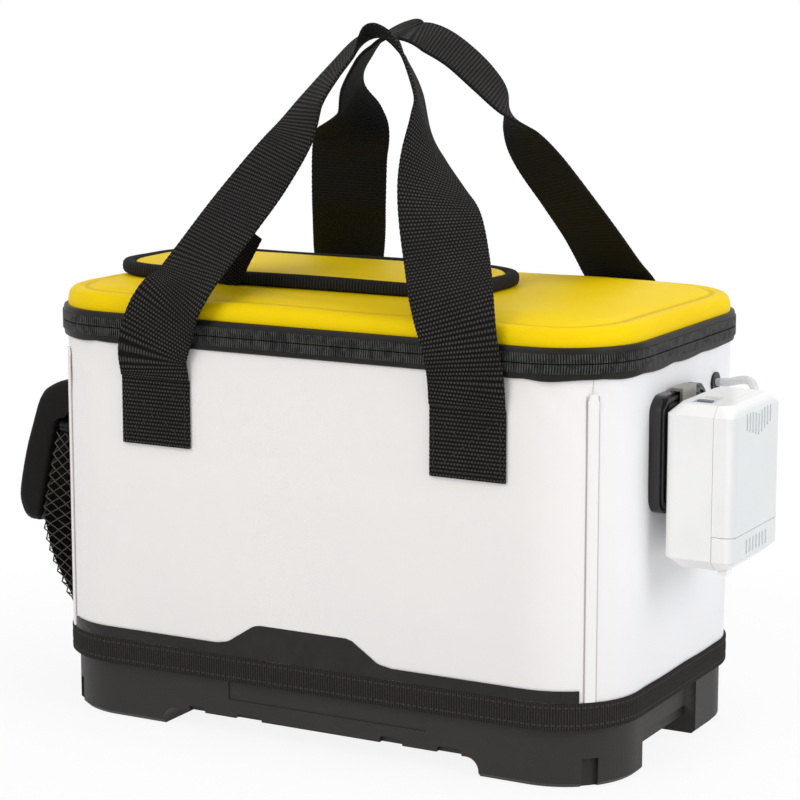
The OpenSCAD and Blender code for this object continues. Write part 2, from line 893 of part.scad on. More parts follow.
module power_switch() {
    color("#8b9298") {
        translate([switch_x - 5, switch_y - 8, aer_z1 - 3.8])
            cube([10, 9, 2]);
        translate([switch_x - 4.4, switch_y - 6, aer_z1 - 1.8])
            cube([8.8, 4, 2.2]);
        translate([switch_x - 1.6, switch_y - 5.6, aer_z1 - 7.8])
            cube([3.2, 5, 4]);
    }
}

// A folded steel clip: one leg on the aerator's back, one hooked behind the bracket's top bar.
module aerator_clip() {
    color("#9a9c9e") {
        translate([aer_x0 - clip_t, clip_y - clip_w / 2, clip_foot_z])
            cube([clip_t, clip_w, clip_fold_z - clip_foot_z]);
        translate([clip_x, clip_y - clip_w / 2, clip_fold_z])
            cube([aer_x0 - clip_x, clip_w, clip_t]);
        translate([clip_x, clip_y - clip_w / 2, clip_foot_z + 2])
            cube([clip_t, clip_w, clip_fold_z - clip_foot_z - 2]);
    }
}

module clip_screws() {
    color("#6f7276")
        for (z = [183, 197])
            translate([0, clip_y, z])
                x_tube(2.4, aer_x0 - clip_t - 0.4, aer_x0 - clip_t);
}

module battery_cells() {
    for (s = [-1, 1])
        translate([cell_x, (aer_y0 + aer_y1) / 2 + s * (cell_r + 0.4), cell_z]) {
            color("#3a3f46") cylinder(r = cell_r, h = cell_h - 2);
            color("#c9ccd0") translate([0, 0, cell_h - 2]) cylinder(r = 4.5, h = 2);
        }
}

module contact_springs() {
    color("#b9bcc0")
        for (s = [-1, 1])
            translate([cell_x, (aer_y0 + aer_y1) / 2 + s * (cell_r + 0.4), aer_z0 + aer_wall + 0.6])
                difference() {
                    cylinder(r1 = 6, r2 = 4, h = cell_z - aer_z0 - aer_wall - 0.6);
                    translate([0, 0, -1])
                        cylinder(r = 3, h = 10);
                }
}

module contact_plate() {
    color("#c4c6c9")
        translate([cell_x - 8, (aer_y0 + aer_y1) / 2 - 26, cell_z + cell_h])
            cube([16, 52, 0.6]);
}

module air_pump() {
    color("#24272b")
        translate([aer_x0 + 12, -8, pump_z])
            cube([16, 18, 12]);
}

module pump_motor() {
    color("#a9acb0")
        translate([aer_x0 + 30, 0, pump_z + 7.5])
            y_tube(6, -50, -26);
}

// The eccentric on the motor's shaft, which drives the pump's diaphragm.
module motor_crank() {
    color("#cfd1d4")
        translate([aer_x0 + 30, 0, pump_z + 7.5]) {
            y_tube(1, -25.9, -24);
            y_tube(4, -24, -21);
            translate([2.4, 0, 0]) y_tube(0.8, -21, -17);
        }
}

module air_outlet() {
    color("#2b2f33")
        translate([outlet_x, 0, outlet_z])
            difference() {
                union() {
                    y_tube(1.95, aer_y1 - 4, aer_y1);
                    y_tube(3.2, aer_y1, aer_y1 + 1.2);
                    y_tube(1.8, aer_y1 + 1.2, outlet_tip);
                }
                y_tube(0.9, aer_y1 - 6, outlet_tip + 1);
            }
}

// ---------- air line ----------

module air_tube_outer() {
    color("#d9dee0") round_tube(tube_outer_route, tube_d, 2);
}

module air_tube_inner() {
    color("#d9dee0") round_tube(tube_inner_route, tube_d, 3);
}

module air_stone() {
    color("#6f8296")
        translate([0, stone_y, stone_z]) {
            x_tube(2, stone_x - 4, stone_x);
            x_tube(stone_r, stone_x - 34, stone_x - 4);
        }
}

base_tray();
base_insulation();
wall_insulation();
inner_liner();
outer_shell();
corner_welts();
binding_tape();
kick_band();
lower_zip_tape();
lower_zip_teeth();
lid_hinge_strip();
front_strap_anchors();
rear_strap_anchors();
front_handle();
rear_handle();
lid_cover();
lid_insulation();
lid_liner();
upper_zip_tape();
upper_zip_teeth();
hatch_rim();
catch_plates();
hatch_panel();
hatch_binding();
hatch_underside();
hatch_magnets();
hatch_pull_tab();
hatch_hinge_strip();
zip_slider();
zip_pull();
pocket_net();
pocket_hem();
pocket_flap();
bracket_frame();
bracket_screws();
tube_grommet();
aerator_back_shell();
aerator_front_shell();
battery_door();
power_switch();
aerator_clip();
clip_screws();
battery_cells();
contact_springs();
contact_plate();
air_pump();
pump_motor();
motor_crank();
air_outlet();
air_tube_outer();
air_tube_inner();
air_stone();
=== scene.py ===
"""Looks of an aerated bait bucket: cloth, webbing, pads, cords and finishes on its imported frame."""

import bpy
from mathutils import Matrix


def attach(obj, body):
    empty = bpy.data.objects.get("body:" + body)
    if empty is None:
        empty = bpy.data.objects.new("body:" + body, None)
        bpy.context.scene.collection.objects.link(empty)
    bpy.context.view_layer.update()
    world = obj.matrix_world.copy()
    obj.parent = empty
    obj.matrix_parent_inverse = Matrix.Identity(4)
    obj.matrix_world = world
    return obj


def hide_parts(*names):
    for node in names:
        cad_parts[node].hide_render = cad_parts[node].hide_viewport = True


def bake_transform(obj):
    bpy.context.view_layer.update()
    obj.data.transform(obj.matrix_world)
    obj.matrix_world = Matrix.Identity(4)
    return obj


bl_info = {
    "name": "Aerated Bait Bucket",
    "version": (1, 0, 0),
    "blender": (4, 5, 0),
    "location": "3D View > Sidebar > Bait Bucket",
    "description": "Dresses the packed bait bucket in cloth, webbing, pads, cords and finishes",
    "category": "Add Mesh",
}

from math import atan2, copysign, cos, dist, exp, hypot, pi, radians, sin, tau

import bpy
from bpy.props import FloatProperty, FloatVectorProperty, PointerProperty
from mathutils import Vector

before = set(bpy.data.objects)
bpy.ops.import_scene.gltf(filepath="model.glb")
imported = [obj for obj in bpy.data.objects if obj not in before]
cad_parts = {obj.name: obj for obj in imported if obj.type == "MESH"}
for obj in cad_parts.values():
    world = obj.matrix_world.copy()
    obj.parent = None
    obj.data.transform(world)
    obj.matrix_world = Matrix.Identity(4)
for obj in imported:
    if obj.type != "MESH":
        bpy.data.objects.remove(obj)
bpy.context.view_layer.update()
MM = 0.001

# Routes repeated from the part's source, in millimetres: [place, way the width runs].
FOOT_Z = 215
FOOT_Y = 112.2
OUT_Y = 115
FRONT_ROUTE = [
    ((-102, -FOOT_Y, FOOT_Z), (1, 0, 0)), ((-101.5, -OUT_Y, 232), (1, 0, 0)),
    ((-91.5, -117, 255), (1, -0.03, 0)), ((-82, -113, 271), (0.97, -0.2, -0.1)),
    ((-75.5, -100, 287), (0.93, -0.31, -0.2)), ((-65, -84, 309), (0.92, -0.33, -0.23)),
    ((-54.5, -66, 332), (0.9, -0.38, -0.22)), ((-43.5, -53, 354), (0.88, -0.47, -0.1)),
    ((-36, -42, 375), (0.74, -0.68, 0)), ((-25, -33, 393), (0.58, -0.81, -0.1)),
    ((-11, -28, 409), (0.5, -0.84, -0.1)), ((2, -26, 415), (0.4, -0.85, 0.1)),
    ((13, -27, 411), (0.3, -0.87, 0.3)), ((21, -29, 403), (0.25, -0.88, 0.4)),
    ((30, -33, 390), (0.24, -0.87, 0.44)), ((40, -41, 370), (0.23, -0.82, 0.5)),
    ((47.5, -49, 357), (0, -0.85, 0.5)), ((58, -63, 338), (-0.4, -0.86, 0.3)),
    ((71, -79, 319), (-0.78, -0.6, 0.1)), ((83.5, -94, 295), (-0.95, -0.3, 0.03)),
    ((95, -110, 276), (-0.99, -0.12, 0)), ((102.5, -117, 256), (-1, 0, 0)),
    ((106, -OUT_Y, 233), (-1, 0, 0)), ((106, -FOOT_Y, FOOT_Z), (-1, 0, 0)),
]
REAR_ROUTE = [
    ((-104, FOOT_Y, FOOT_Z), (1, 0, 0)), ((-104, OUT_Y, 233), (1, 0, 0)),
    ((-101, 116, 253), (1, 0.05, 0)), ((-94, 106, 271), (0.95, 0.2, 0)),
    ((-85, 91, 288), (0.92, 0.35, -0.05)), ((-76, 75, 305), (0.9, 0.4, -0.1)),
    ((-68, 62, 334), (0.88, 0.45, -0.1)), ((-62, 54, 348), (0.85, 0.5, -0.1)),
    ((-60, 49, 361), (0.4, 0.9, 0)), ((-57, 44, 374), (-0.25, 0.95, 0.1)),
    ((-47, 36, 391), (-0.2, 0.95, 0.2)), ((-33, 30, 406), (-0.25, 0.94, 0.15)),
    ((-18, 26, 414), (-0.3, 0.94, 0.15)), ((-5, 24, 416), (-0.34, 0.93, 0.15)),
    ((8, 29, 412), (-0.32, 0.9, 0.3)), ((22, 35, 403), (-0.3, 0.9, 0.32)),
    ((37, 42, 388), (-0.3, 0.9, 0.32)), ((48, 48, 373), (-0.4, 0.9, 0.25)),
    ((56, 55, 355), (-0.78, 0.6, 0)), ((64, 63, 338), (-0.9, 0.45, -0.12)),
    ((78, 76, 313), (-0.92, 0.4, -0.15)), ((88, 92, 290), (-0.94, 0.35, -0.15)),
    ((94, 106, 271), (-0.98, 0.2, -0.08)), ((100, 116, 253), (-1, 0, 0)),
    ((102, OUT_Y, 233), (-1, 0, 0)), ((102, FOOT_Y, FOOT_Z), (-1, 0, 0)),
]
OUTER_TUBE = [
    (191.5, 45, 213), (199, 45, 213.5), (207, 44.5, 215.5), (213.5, 42.5, 215.5),
    (217.5, 39.5, 211.5), (218, 37, 205), (216, 34.5, 198), (213, 31, 192.5),
    (211, 26.5, 190), (211, 21.35, 190),
]
TUBE_FLOOR = 40.5
STONE_Z = 44.7
INNER_TUBE = [
    (175.2, 45, 213), (169, 45, 212), (164.5, 45, 206), (165, 45, 192), (168, 44, 165),
    (169, 43, 130), (168, 41, 95), (165, 38, 66), (157, 33, 48), (142, 24, TUBE_FLOOR + 0.5),
    (120, 8, TUBE_FLOOR), (92, -10, TUBE_FLOOR), (60, -26, TUBE_FLOOR),
    (28, -36, TUBE_FLOOR), (2, -39, TUBE_FLOOR + 1.5), (-16, -39, STONE_Z),
    (-29.8, -39, STONE_Z),
]

# Other sizes of the part's source, in millimetres.
HALF_X, HALF_Y, CORNER = 190, 110, 50
CORE_X, CORE_Y = HALF_X - CORNER, HALF_Y - CORNER
TUBE_HOLE_Y, TUBE_HOLE_Z, TUBE_HOLE_RADIUS = 45, 213, 4.05
FLOOR_Z, TAPE_TOP = 36.05, 51.05
ZIP_FOOT, LID_FOOT, ZIP_TOP = 234.1, 243.2, 251.9
SEWN_FOOT, SEWN_Y = 174.2, 111.25
POCKET_HALF, NET_TOP = 68, 169
HATCH_CENTRE = (-51, -8)

ALONG_X, ALONG_Z = Vector((1, 0, 0)), Vector((0, 0, 1))


# ---------- sizes and colours a user would change ----------


class BaitBucketSizes(bpy.types.PropertyGroup):
    body_length: FloatProperty(
        name="Body length", description="Length of the cloth body", default=0.38, unit="LENGTH")
    body_depth: FloatProperty(
        name="Body depth", description="Front to back of the cloth body", default=0.22,
        unit="LENGTH")
    corner_radius: FloatProperty(
        name="Corner radius", description="Radius of the body's upright corners", default=0.05,
        unit="LENGTH")
    strap_width: FloatProperty(
        name="Webbing width", description="Width of the handle webbing", default=0.048,
        unit="LENGTH")
    strap_thickness: FloatProperty(
        name="Webbing thickness", description="Thickness of the handle webbing", default=0.0024,
        unit="LENGTH")
    tube_diameter: FloatProperty(
        name="Air tube", description="Outside diameter of the air tube", default=0.005,
        unit="LENGTH")
    net_cell: FloatProperty(
        name="Net cell", description="Width of one cell of the pocket net", default=0.0058,
        unit="LENGTH")


class BaitBucketColours(bpy.types.PropertyGroup):
    lid: FloatVectorProperty(
        name="Lid", description="Colour of the padded lid and hatch", subtype="COLOR", size=3,
        default=(0.90, 0.64, 0.001))
    walls: FloatVectorProperty(
        name="Walls", description="Colour of the coated cloth walls", subtype="COLOR", size=3,
        default=(0.86, 0.845, 0.835))
    webbing: FloatVectorProperty(
        name="Webbing", description="Colour of the handle webbing", subtype="COLOR", size=3,
        default=(0.0062, 0.0058, 0.0054))
    base: FloatVectorProperty(
        name="Base", description="Colour of the moulded base", subtype="COLOR", size=3,
        default=(0.0230, 0.0200, 0.0175))
    aerator: FloatVectorProperty(
        name="Aerator", description="Colour of the aerator's case", subtype="COLOR", size=3,
        default=(0.88, 0.875, 0.86))


def sizes():
    return bpy.context.scene.bait_bucket_sizes


def colours():
    return bpy.context.scene.bait_bucket_colours


# ---------- shader maths ----------


def math_node(operation, swap=False):
    """A method of Socket that adds one Math node."""
    def method(self, *others):
        values = (*others, self) if swap else (self, *others)
        return self.finish.node("Math", {"operation": operation}, dict(enumerate(values)))
    return method


class Socket:
    """An output of a finish's nodes; arithmetic on it adds Math nodes."""

    def __init__(self, finish, output):
        self.finish = finish
        self.output = output

    __add__ = __radd__ = math_node("ADD")
    __mul__ = __rmul__ = math_node("MULTIPLY")
    __sub__ = math_node("SUBTRACT")
    __rsub__ = math_node("SUBTRACT", swap=True)
    __truediv__ = math_node("DIVIDE")
    __mod__ = math_node("FLOORED_MODULO")
    floor = math_node("FLOOR")
    fract = math_node("FRACT")
    sine = math_node("SINE")
    root = math_node("SQRT")
    size = math_node("ABSOLUTE")
    least = math_node("MINIMUM")
    most = math_node("MAXIMUM")
    under = math_node("LESS_THAN")
    over = math_node("GREATER_THAN")

    def step(self, low, high):
        """0 below low, 1 above high, smooth between."""
        return self.finish.node(
            "MapRange", {"interpolation_type": "SMOOTHSTEP"},
            {0: self, 1: low, 2: high, 3: 0.0, 4: 1.0},
        )


class Finish:
    """The nodes of one material or world, round the shader that it comes with."""

    def __init__(self, name, owner=None, shader="Principled BSDF", **constants):
        self.material = owner or bpy.data.materials.new(name)
        self.material.use_nodes = True
        self.nodes = self.material.node_tree.nodes
        self.links = self.material.node_tree.links
        self.shader = self.nodes[shader]
        for socket, value in constants.items():
            self.into(socket.replace("_", " "), value)

    def node(self, kind, settings=None, inputs=None, out=0):
        added = self.nodes.new("ShaderNode" + kind)
        for key, value in (settings or {}).items():
            setattr(added, key, value)
        for key, value in (inputs or {}).items():
            self.feed(added.inputs[key], value)
        return Socket(self, added.outputs[out])

    def feed(self, target, value):
        if isinstance(value, Socket):
            self.links.new(value.output, target)
        else:
            target.default_value = (*value, 1) if target.type == "RGBA" else value

    def into(self, socket, value):
        self.feed(self.shader.inputs[socket], value)

    def surface(self, colour, roughness=None, normal=None):
        """Feed the shader and give back the material."""
        values = {"Base Color": colour, "Roughness": roughness, "Normal": normal}
        for socket, value in values.items():
            if value is not None:
                self.into(socket, value)
        return self.material

    def mix(self, factor, first, second):
        return self.node("Mix", {"data_type": "RGBA"}, {0: factor, 6: first, 7: second}, 2)

    def place(self):
        """Object coordinates, in metres."""
        return self.node("TexCoord", out=3)

    def cloth(self):
        """The piece's own UV map, in metres along and across the cloth."""
        return self.node("UVMap", {"uv_map": "cloth"})

    def parts(self, vector):
        split = self.nodes.new("ShaderNodeSeparateXYZ")
        self.feed(split.inputs[0], vector)
        return [Socket(self, output) for output in split.outputs]

    def noise(self, scale, detail=3.0, roughness=0.55, at=None):
        return self.node("TexNoise", None, {
            "Vector": at or self.place(), "Scale": scale, "Detail": detail,
            "Roughness": roughness,
        })

    def bump(self, height, distance, strength, under=None):
        inputs = {"Height": height, "Distance": distance, "Strength": strength}
        return self.node("Bump", None, inputs | ({"Normal": under} if under else {}))

    def plain_sight(self):
        """1 for rays from the camera, off a gloss or through a clear piece, 0 for the rest."""
        path = self.nodes.new("ShaderNodeLightPath")
        camera, glossy, through = (
            Socket(self, path.outputs["Is %s Ray" % kind])
            for kind in ("Camera", "Glossy", "Transmission")
        )
        return camera.most(glossy).most(through)

    def show(self, share, other, output):
        """Let share of the other shader show in place of this one's."""
        mixed = self.node("MixShader", None, {0: share, 1: Socket(self, self.shader.outputs[0]),
                                              2: other})
        self.feed(self.nodes[output].inputs["Surface"], mixed)


def tinted(shade, *factors):
    """A colour times one factor, or times one for each channel."""
    return tuple(c * k for c, k in zip(shade, factors * 3 if len(factors) == 1 else factors))


# ---------- finishes ----------

TURN = 6.2832
# Colour of the dark corner lines: a painted shadow beside each seam strip, and the seam's line above
# it.
SEAM_SHADOW_AND_LINE = (0.55, 0.46, 0.45)
# Colour of the webbing's inner face, painted as flat shade, tinted blue to offset the lid's yellow
# bounce light.
SHADED_WEB_FACE = (0.0108, 0.0112, 0.0125)
TAPE_BLACK = (0.010, 0.0096, 0.0092)
STITCH_LINES = (0.0382, 0.0484)


def webbing_finish(name, shade, plain=None, row=0.0023, dot=0.0020, light=13.0):
    """Heavy ribbed webbing: rows of yarn floats, every other row set over by half;
    the float tops are painted lighter, as highlights.

    plain is the range along the section, in metres, of the inner face, which is left dull,
    painted as flat shade without the float highlights.
    """
    f = Finish(name, Roughness=0.85, Specular_IOR_Level=0.08)
    u, v, _ = f.parts(f.cloth())
    row_at = (v + (f.noise(900.0, 2.0) - 0.5) * 0.0005) / row
    shift = (row_at.floor() % 2.0) * 0.5
    across = ((u / dot + shift).fract() - 0.5).size()
    down = (row_at.fract() - 0.5).size()
    float_top = (1.0 - across.step(0.12, 0.44)) * (1.0 - down.step(0.10, 0.36))
    # Painted highlights: the float tops are coloured lighter, by the noise's amount.
    lit = float_top * (0.5 + f.noise(45.0, 4.0))
    ground = shade
    # The inner face is painted as flat shade: its float highlights mostly go, and its ground takes
    # the shade colour.
    if plain:
        inside = u.over(plain[0]) * u.under(plain[1])
        lit = lit * (1.0 - inside * 0.85)
        ground = f.mix(inside, shade, SHADED_WEB_FACE)
    return f.surface(
        f.mix(lit * 0.75, ground, tinted(shade, light)),
        normal=f.bump(float_top * 0.7 + (0.5 - down), 0.0005, 0.9),
    )


def tape_finish(name, shade, pitch=0.0016):
    """Ribbed binding tape with a line of stitches near each edge."""
    f = Finish(name, Roughness=0.85, Specular_IOR_Level=0.08)
    u, _, _ = f.parts(f.cloth())
    _, _, z = f.parts(f.place())
    ribs = (u / pitch * TURN).sine() * 0.5 + 0.5
    fibre = f.noise(1400.0)
    low, high = ((z - line).size().under(0.00045) for line in STITCH_LINES)
    dash = (u / 0.0036).fract().under(0.66) * low.most(high)
    tone = ribs * 0.5 + fibre * 0.7
    body = f.mix(tone.step(0.35, 1.1), shade, tinted(shade, 3.6))
    return f.surface(
        f.mix(dash * 0.55, body, tinted(shade, 5)),
        normal=f.bump(ribs * 0.6 + fibre * 0.5 + dash * 0.8, 0.00035, 0.8),
    )


def past_core(x, y):
    """How far a point is beyond the middles of the corner arcs, along X and Y."""
    return x.size() - CORE_X * MM, y.size() - CORE_Y * MM


def tarpaulin_finish(name, shade):
    """White coated cloth: a faint scrim weave under a soft satin coat, with painted light:
    the front face warmer and the other faces cooler, and dark lines at the corners: a painted
    shadow along each edge of the seam strips and the seam's line above them.
    """
    f = Finish(name, Specular_IOR_Level=0.3)
    x, y, z = f.parts(f.place())
    # Painted light: the front face is tinted warmer, the other faces cooler.
    front = 1.0 - y.step(-0.11, -0.06)
    broad = f.noise(7.0, 2.0)
    base = f.mix(front, tinted(shade, 0.985, 1.003, 1.03), tinted(shade, 1.0, 0.985, 0.975))
    base = f.mix(broad.step(0.35, 0.75) * 0.35, base, tinted(shade, 0.93))
    # Dark lines at the corners: a painted shadow along each edge of the seam strips, and the seam's
    # line above them.
    past_x, past_y = past_core(x, y)
    off_seam = ((past_x - past_y) * 0.7071).size()
    corner = past_x.over(0.0) * past_y.over(0.0)
    edge_shadow = 1.0 - (off_seam - 0.00365).size().step(0.0002, 0.0007)
    above = (1.0 - off_seam.step(0.0001, 0.0005)) * z.over(0.2262)
    line = (edge_shadow * z.under(0.2245)).most(above) * corner
    scrim = ((x + y) / 0.0011 * TURN).sine() * (z / 0.0011 * TURN).sine()
    return f.surface(
        f.mix(line * 0.75, base, tinted(shade, *SEAM_SHADOW_AND_LINE)), broad * 0.18 + 0.36,
        f.bump(scrim, 0.00012, 0.25, f.bump(f.noise(26.0), 0.0012, 0.35)),
    )


def lid_cloth_finish(name, shade):
    """Yellow coated cloth over foam, painted a little deeper in its creases as shade."""
    f = Finish(name, Specular_IOR_Level=0.07)
    x, y, z = f.parts(f.place())
    broad = f.noise(11.0)
    past_x, past_y = past_core(x, y)
    round_x, round_y = past_x.most(0.0), past_y.most(0.0)
    reach = (round_x * round_x + round_y * round_y).root()
    depth = CORNER * MM - reach - past_x.most(past_y).least(0.0)
    # Painted shade along the fold 12 mm inside the lid's outline, left off the hatch.
    crease_shade = (1.0 - (depth - 0.012).size().step(0.0004, 0.0024)) * z.under(0.2655)
    body = f.mix(broad.step(0.3, 0.8) * 0.5, shade, tinted(shade, 0.93, 0.84, 0.7))
    scrim = ((x + y) / 0.0010 * TURN).sine() * ((x - y) / 0.0010 * TURN).sine()
    return f.surface(
        f.mix(crease_shade * 0.6, body, tinted(shade, 0.66, 0.58, 0.5)), broad * 0.2 + 0.4,
        f.bump(scrim, 0.0001, 0.3, f.bump(f.noise(30.0), 0.0009, 0.35)),
    )


def black_vinyl_finish(name, shade=(0.011, 0.010, 0.0085), rough=0.34, gloss=0.25):
    """Smooth black film with a soft gloss and slight ripples."""
    f = Finish(name, Specular_IOR_Level=gloss)
    ripple = f.noise(60.0)
    return f.surface(
        f.mix(ripple.step(0.4, 0.8), shade, tinted(shade, 1.5)),
        ripple * 0.2 + (rough - 0.1),
        f.bump(ripple, 0.0006, 0.5),
    )


def coil_finish(name):
    """Nylon zip coil: grey where it is worn smooth."""
    f = Finish(name, Specular_IOR_Level=0.3)
    wear = f.noise(260.0)
    return f.surface(
        f.mix(wear.step(0.3, 0.7), (0.016, 0.0158, 0.015), (0.066, 0.066, 0.063)),
        wear * 0.2 + 0.35,
        f.bump(wear, 0.0002, 0.4),
    )


def moulded_finish(name, shade, grain=900.0, rough=0.5, depth=0.00025, gloss=0.3):
    """Grained injection-moulded plastic, slightly rubbed."""
    f = Finish(name, Specular_IOR_Level=gloss)
    fine = f.noise(grain)
    rub = f.noise(22.0, 5.0, 0.65)
    return f.surface(
        f.mix(rub.step(0.35, 0.8) * 0.6, shade, tinted(shade, 1.35)),
        fine * 0.16 + (rough - 0.06),
        f.bump(fine, depth, 0.55),
    )


def gloss_case_finish(name, shade):
    """Glossy white moulding with faint flow marks, painted darker and cooler on its outer face as
    shade.
    """
    f = Finish(name, Specular_IOR_Level=0.45, Coat_Weight=0.15, Coat_Roughness=0.15)
    flow = f.noise(30.0, 2.0)
    x, _, _ = f.parts(f.place())
    # Painted shade: the outer face, beyond x = 0.24 m, is coloured darker and cooler.
    shaded_side = tinted(shade, 0.80, 0.835, 0.85)
    base = f.mix(x.step(0.2385, 0.2425), shade, shaded_side)
    return f.surface(
        f.mix(flow.step(0.2, 0.9) * 0.2, base, tinted(shaded_side, 0.9)),
        flow * 0.06 + 0.26,
        f.bump(f.noise(1500.0, 2.0), 0.00003, 0.3),
    )


def metal_finish(name, shade=(0.55, 0.55, 0.56), rough=0.28):
    """Brushed metal with fine scratches along X."""
    f = Finish(name, Metallic=1.0)
    drawn = f.node("Mapping", None, {"Vector": f.place(), "Scale": (120.0, 1500.0, 1500.0)})
    scratch = f.noise(1.0, 4.0, at=drawn)
    return f.surface(
        f.mix(scratch, shade, tinted(shade, 0.78)),
        scratch * 0.22 + (rough - 0.08),
        f.bump(scratch, 0.00006, 0.5),
    )


def foam_finish(name, shade):
    """Closed-cell foam: small bright cells."""
    f = Finish(name, Roughness=0.9)
    at = {"Vector": f.place(), "Scale": 900.0}
    cells = f.node("TexVoronoi", {"feature": "DISTANCE_TO_EDGE"}, at)
    return f.surface(
        f.mix(cells.step(0.0, 0.12), tinted(shade, 0.86), shade),
        normal=f.bump(cells, 0.0002, 0.6),
    )


def liner_finish(name, shade):
    """Heat-welded liner film, smooth and pale, with soft ripples."""
    f = Finish(name, Specular_IOR_Level=0.5)
    ripple = f.noise(18.0)
    return f.surface(
        f.mix(ripple.step(0.3, 0.8) * 0.6, shade, tinted(shade, 0.88)),
        ripple * 0.2 + 0.25,
        f.bump(ripple, 0.0016, 0.5),
    )


def tube_finish(name):
    """Clear silicone tube, slightly grey."""
    f = Finish(name, Specular_IOR_Level=0.5, IOR=1.42, Transmission_Weight=0.0)
    haze = f.noise(90.0, 2.0)
    f.into("Alpha", haze * 0.1 + 0.5)
    return f.surface(f.mix(haze, (0.70, 0.71, 0.72), (0.82, 0.83, 0.84)), haze * 0.15 + 0.14)


def stone_finish(name):
    """Sintered air stone: coarse blue-grey grains."""
    f = Finish(name, Roughness=0.95)
    grains = f.node("TexVoronoi", None, {"Vector": f.place(), "Scale": 1300.0})
    return f.surface(
        f.mix(f.noise(500.0, 2.0), (0.10, 0.19, 0.30), (0.26, 0.36, 0.45)),
        normal=f.bump(grains, 0.0006, 0.9),
    )


def cell_finish(name):
    """Shrink wrap of a dry cell: dark body with a copper band at its upper end."""
    f = Finish(name, Specular_IOR_Level=0.5, Metallic=0.35)
    _, _, z = f.parts(f.place())
    scuff = f.noise(140.0, 4.0)
    body = f.mix(z.over(0.172), (0.02, 0.02, 0.022), (0.62, 0.30, 0.10))
    return f.surface(f.mix(scuff.step(0.62, 0.8) * 0.4, body, (0.4, 0.4, 0.4)), scuff * 0.25 + 0.2)


def pad_finish(name):
    """Matte black coated pad with a faint brown sheen, painted into its colour in broad patches."""
    f = Finish(name, Specular_IOR_Level=0.06)
    # Painted sheen: broad patches of the colour are lighter and browner.
    broad = f.noise(16.0)
    return f.surface(
        f.mix(broad, (0.0095, 0.0085, 0.008), (0.015, 0.0125, 0.011)),
        broad * 0.25 + 0.42,
        f.bump(f.noise(1100.0), 0.0002, 0.5, f.bump(broad, 0.002, 0.3)),
    )


# ---------- making and finishing meshes ----------


def deselect():
    if bpy.context.object and bpy.context.object.mode != "OBJECT":
        bpy.ops.object.mode_set(mode="OBJECT")
    bpy.ops.object.select_all(action="DESELECT")


def only(piece):
    deselect()
    piece.select_set(True)
    bpy.context.view_layer.objects.active = piece


def remove(piece):
    only(piece)
    bpy.ops.object.delete()


def join(pieces, name):
    only(pieces[0])
    for piece in pieces:
        piece.select_set(True)
    bpy.ops.object.join()
    bpy.context.object.name = name
    return bpy.context.object


def apply(piece, kind, **settings):
    only(piece)
    modifier = piece.modifiers.new(kind.title(), kind)
    for key, value in settings.items():
        setattr(modifier, key, value)
    bpy.ops.object.modifier_apply(modifier=modifier.name)


def edit(piece, *steps):
    """Run edit-mode operators on the whole mesh; each step is a callable."""
    only(piece)
    bpy.ops.object.mode_set(mode="EDIT")
    bpy.ops.mesh.select_all(action="SELECT")
    for step in steps:
        step()
    bpy.ops.object.mode_set(mode="OBJECT")


def weld():
    bpy.ops.mesh.remove_doubles(threshold=0.00001)


def cap_ends():
    bpy.ops.mesh.select_all(action="DESELECT")
    bpy.ops.mesh.select_mode(type="EDGE")
    bpy.ops.mesh.select_non_manifold()
    bpy.ops.mesh.fill_holes(sides=0)
    bpy.ops.mesh.select_mode(type="VERT")
    bpy.ops.mesh.select_all(action="SELECT")


def outwards():
    bpy.ops.mesh.normals_make_consistent(inside=False)


def walked(points):
    """Length walked along a line at each of its points."""
    lengths = [0.0]
    for a, b in zip(points, points[1:]):
        lengths.append(lengths[-1] + dist(a, b))
    return lengths


def heading(points, i):
    """Direction of a line at its point i."""
    return (points[min(i + 1, len(points) - 1)] - points[max(i - 1, 0)]).normalized()


def add_mesh(name, points, faces):
    mesh = bpy.data.meshes.new(name)
    mesh.from_pydata(points, [], faces)
    piece = bpy.data.objects.new(name, mesh)
    bpy.context.scene.collection.objects.link(piece)
    return piece


def cloth_grid(name, columns, rows, place):
    """A grid laid on a surface: place(i, j) gives millimetres; its UV map is in metres."""
    deselect()
    bpy.ops.mesh.primitive_grid_add(x_subdivisions=columns, y_subdivisions=rows, size=1)
    piece = bpy.context.object
    piece.name = name
    mesh = piece.data
    mesh.name = name
    index = [
        (round((v.co.x + 0.5) * columns), round((v.co.y + 0.5) * rows)) for v in mesh.vertices
    ]
    at = [[Vector(place(i, j)) * MM for i in range(columns + 1)] for j in range(rows + 1)]
    along = walked(at[rows // 2])
    across = walked([row[columns // 3] for row in at])
    for vertex, (i, j) in zip(mesh.vertices, index):
        vertex.co = at[j][i]
    layer = mesh.uv_layers.active
    layer.name = "cloth"
    for loop in mesh.loops:
        i, j = index[loop.vertex_index]
        layer.data[loop.index].uv = (along[i], across[j])
    return piece


def sheet(name, columns, rows, place, depth, *steps):
    """A cloth grid, mended by edit steps and thickened inwards by depth."""
    piece = cloth_grid(name, columns, rows, place)
    if steps:
        edit(piece, *steps)
    apply(piece, "SOLIDIFY", thickness=depth * MM, offset=-1)
    return piece


def rod(name, rings):
    """A closed bar through rings of points, welded round and capped at both ends."""
    count = len(rings[0])
    piece = cloth_grid(name, count, len(rings) - 1, lambda i, j: rings[j][i % count])
    edit(piece, weld, cap_ends, outwards)
    return piece


def loop_bar(name, loop, section, close):
    """A bar of one section along an outline: section points are (out, height)."""
    count = len(section)

    def place(i, j):
        x, y, nx, ny = loop[i]
        out, height = section[j % count]
        return (x + nx * out, y + ny * out, height(i) if callable(height) else height)

    piece = cloth_grid(name, len(loop) - 1, count, place)
    edit(piece, weld, *([] if close else [cap_ends]), outwards)
    return piece


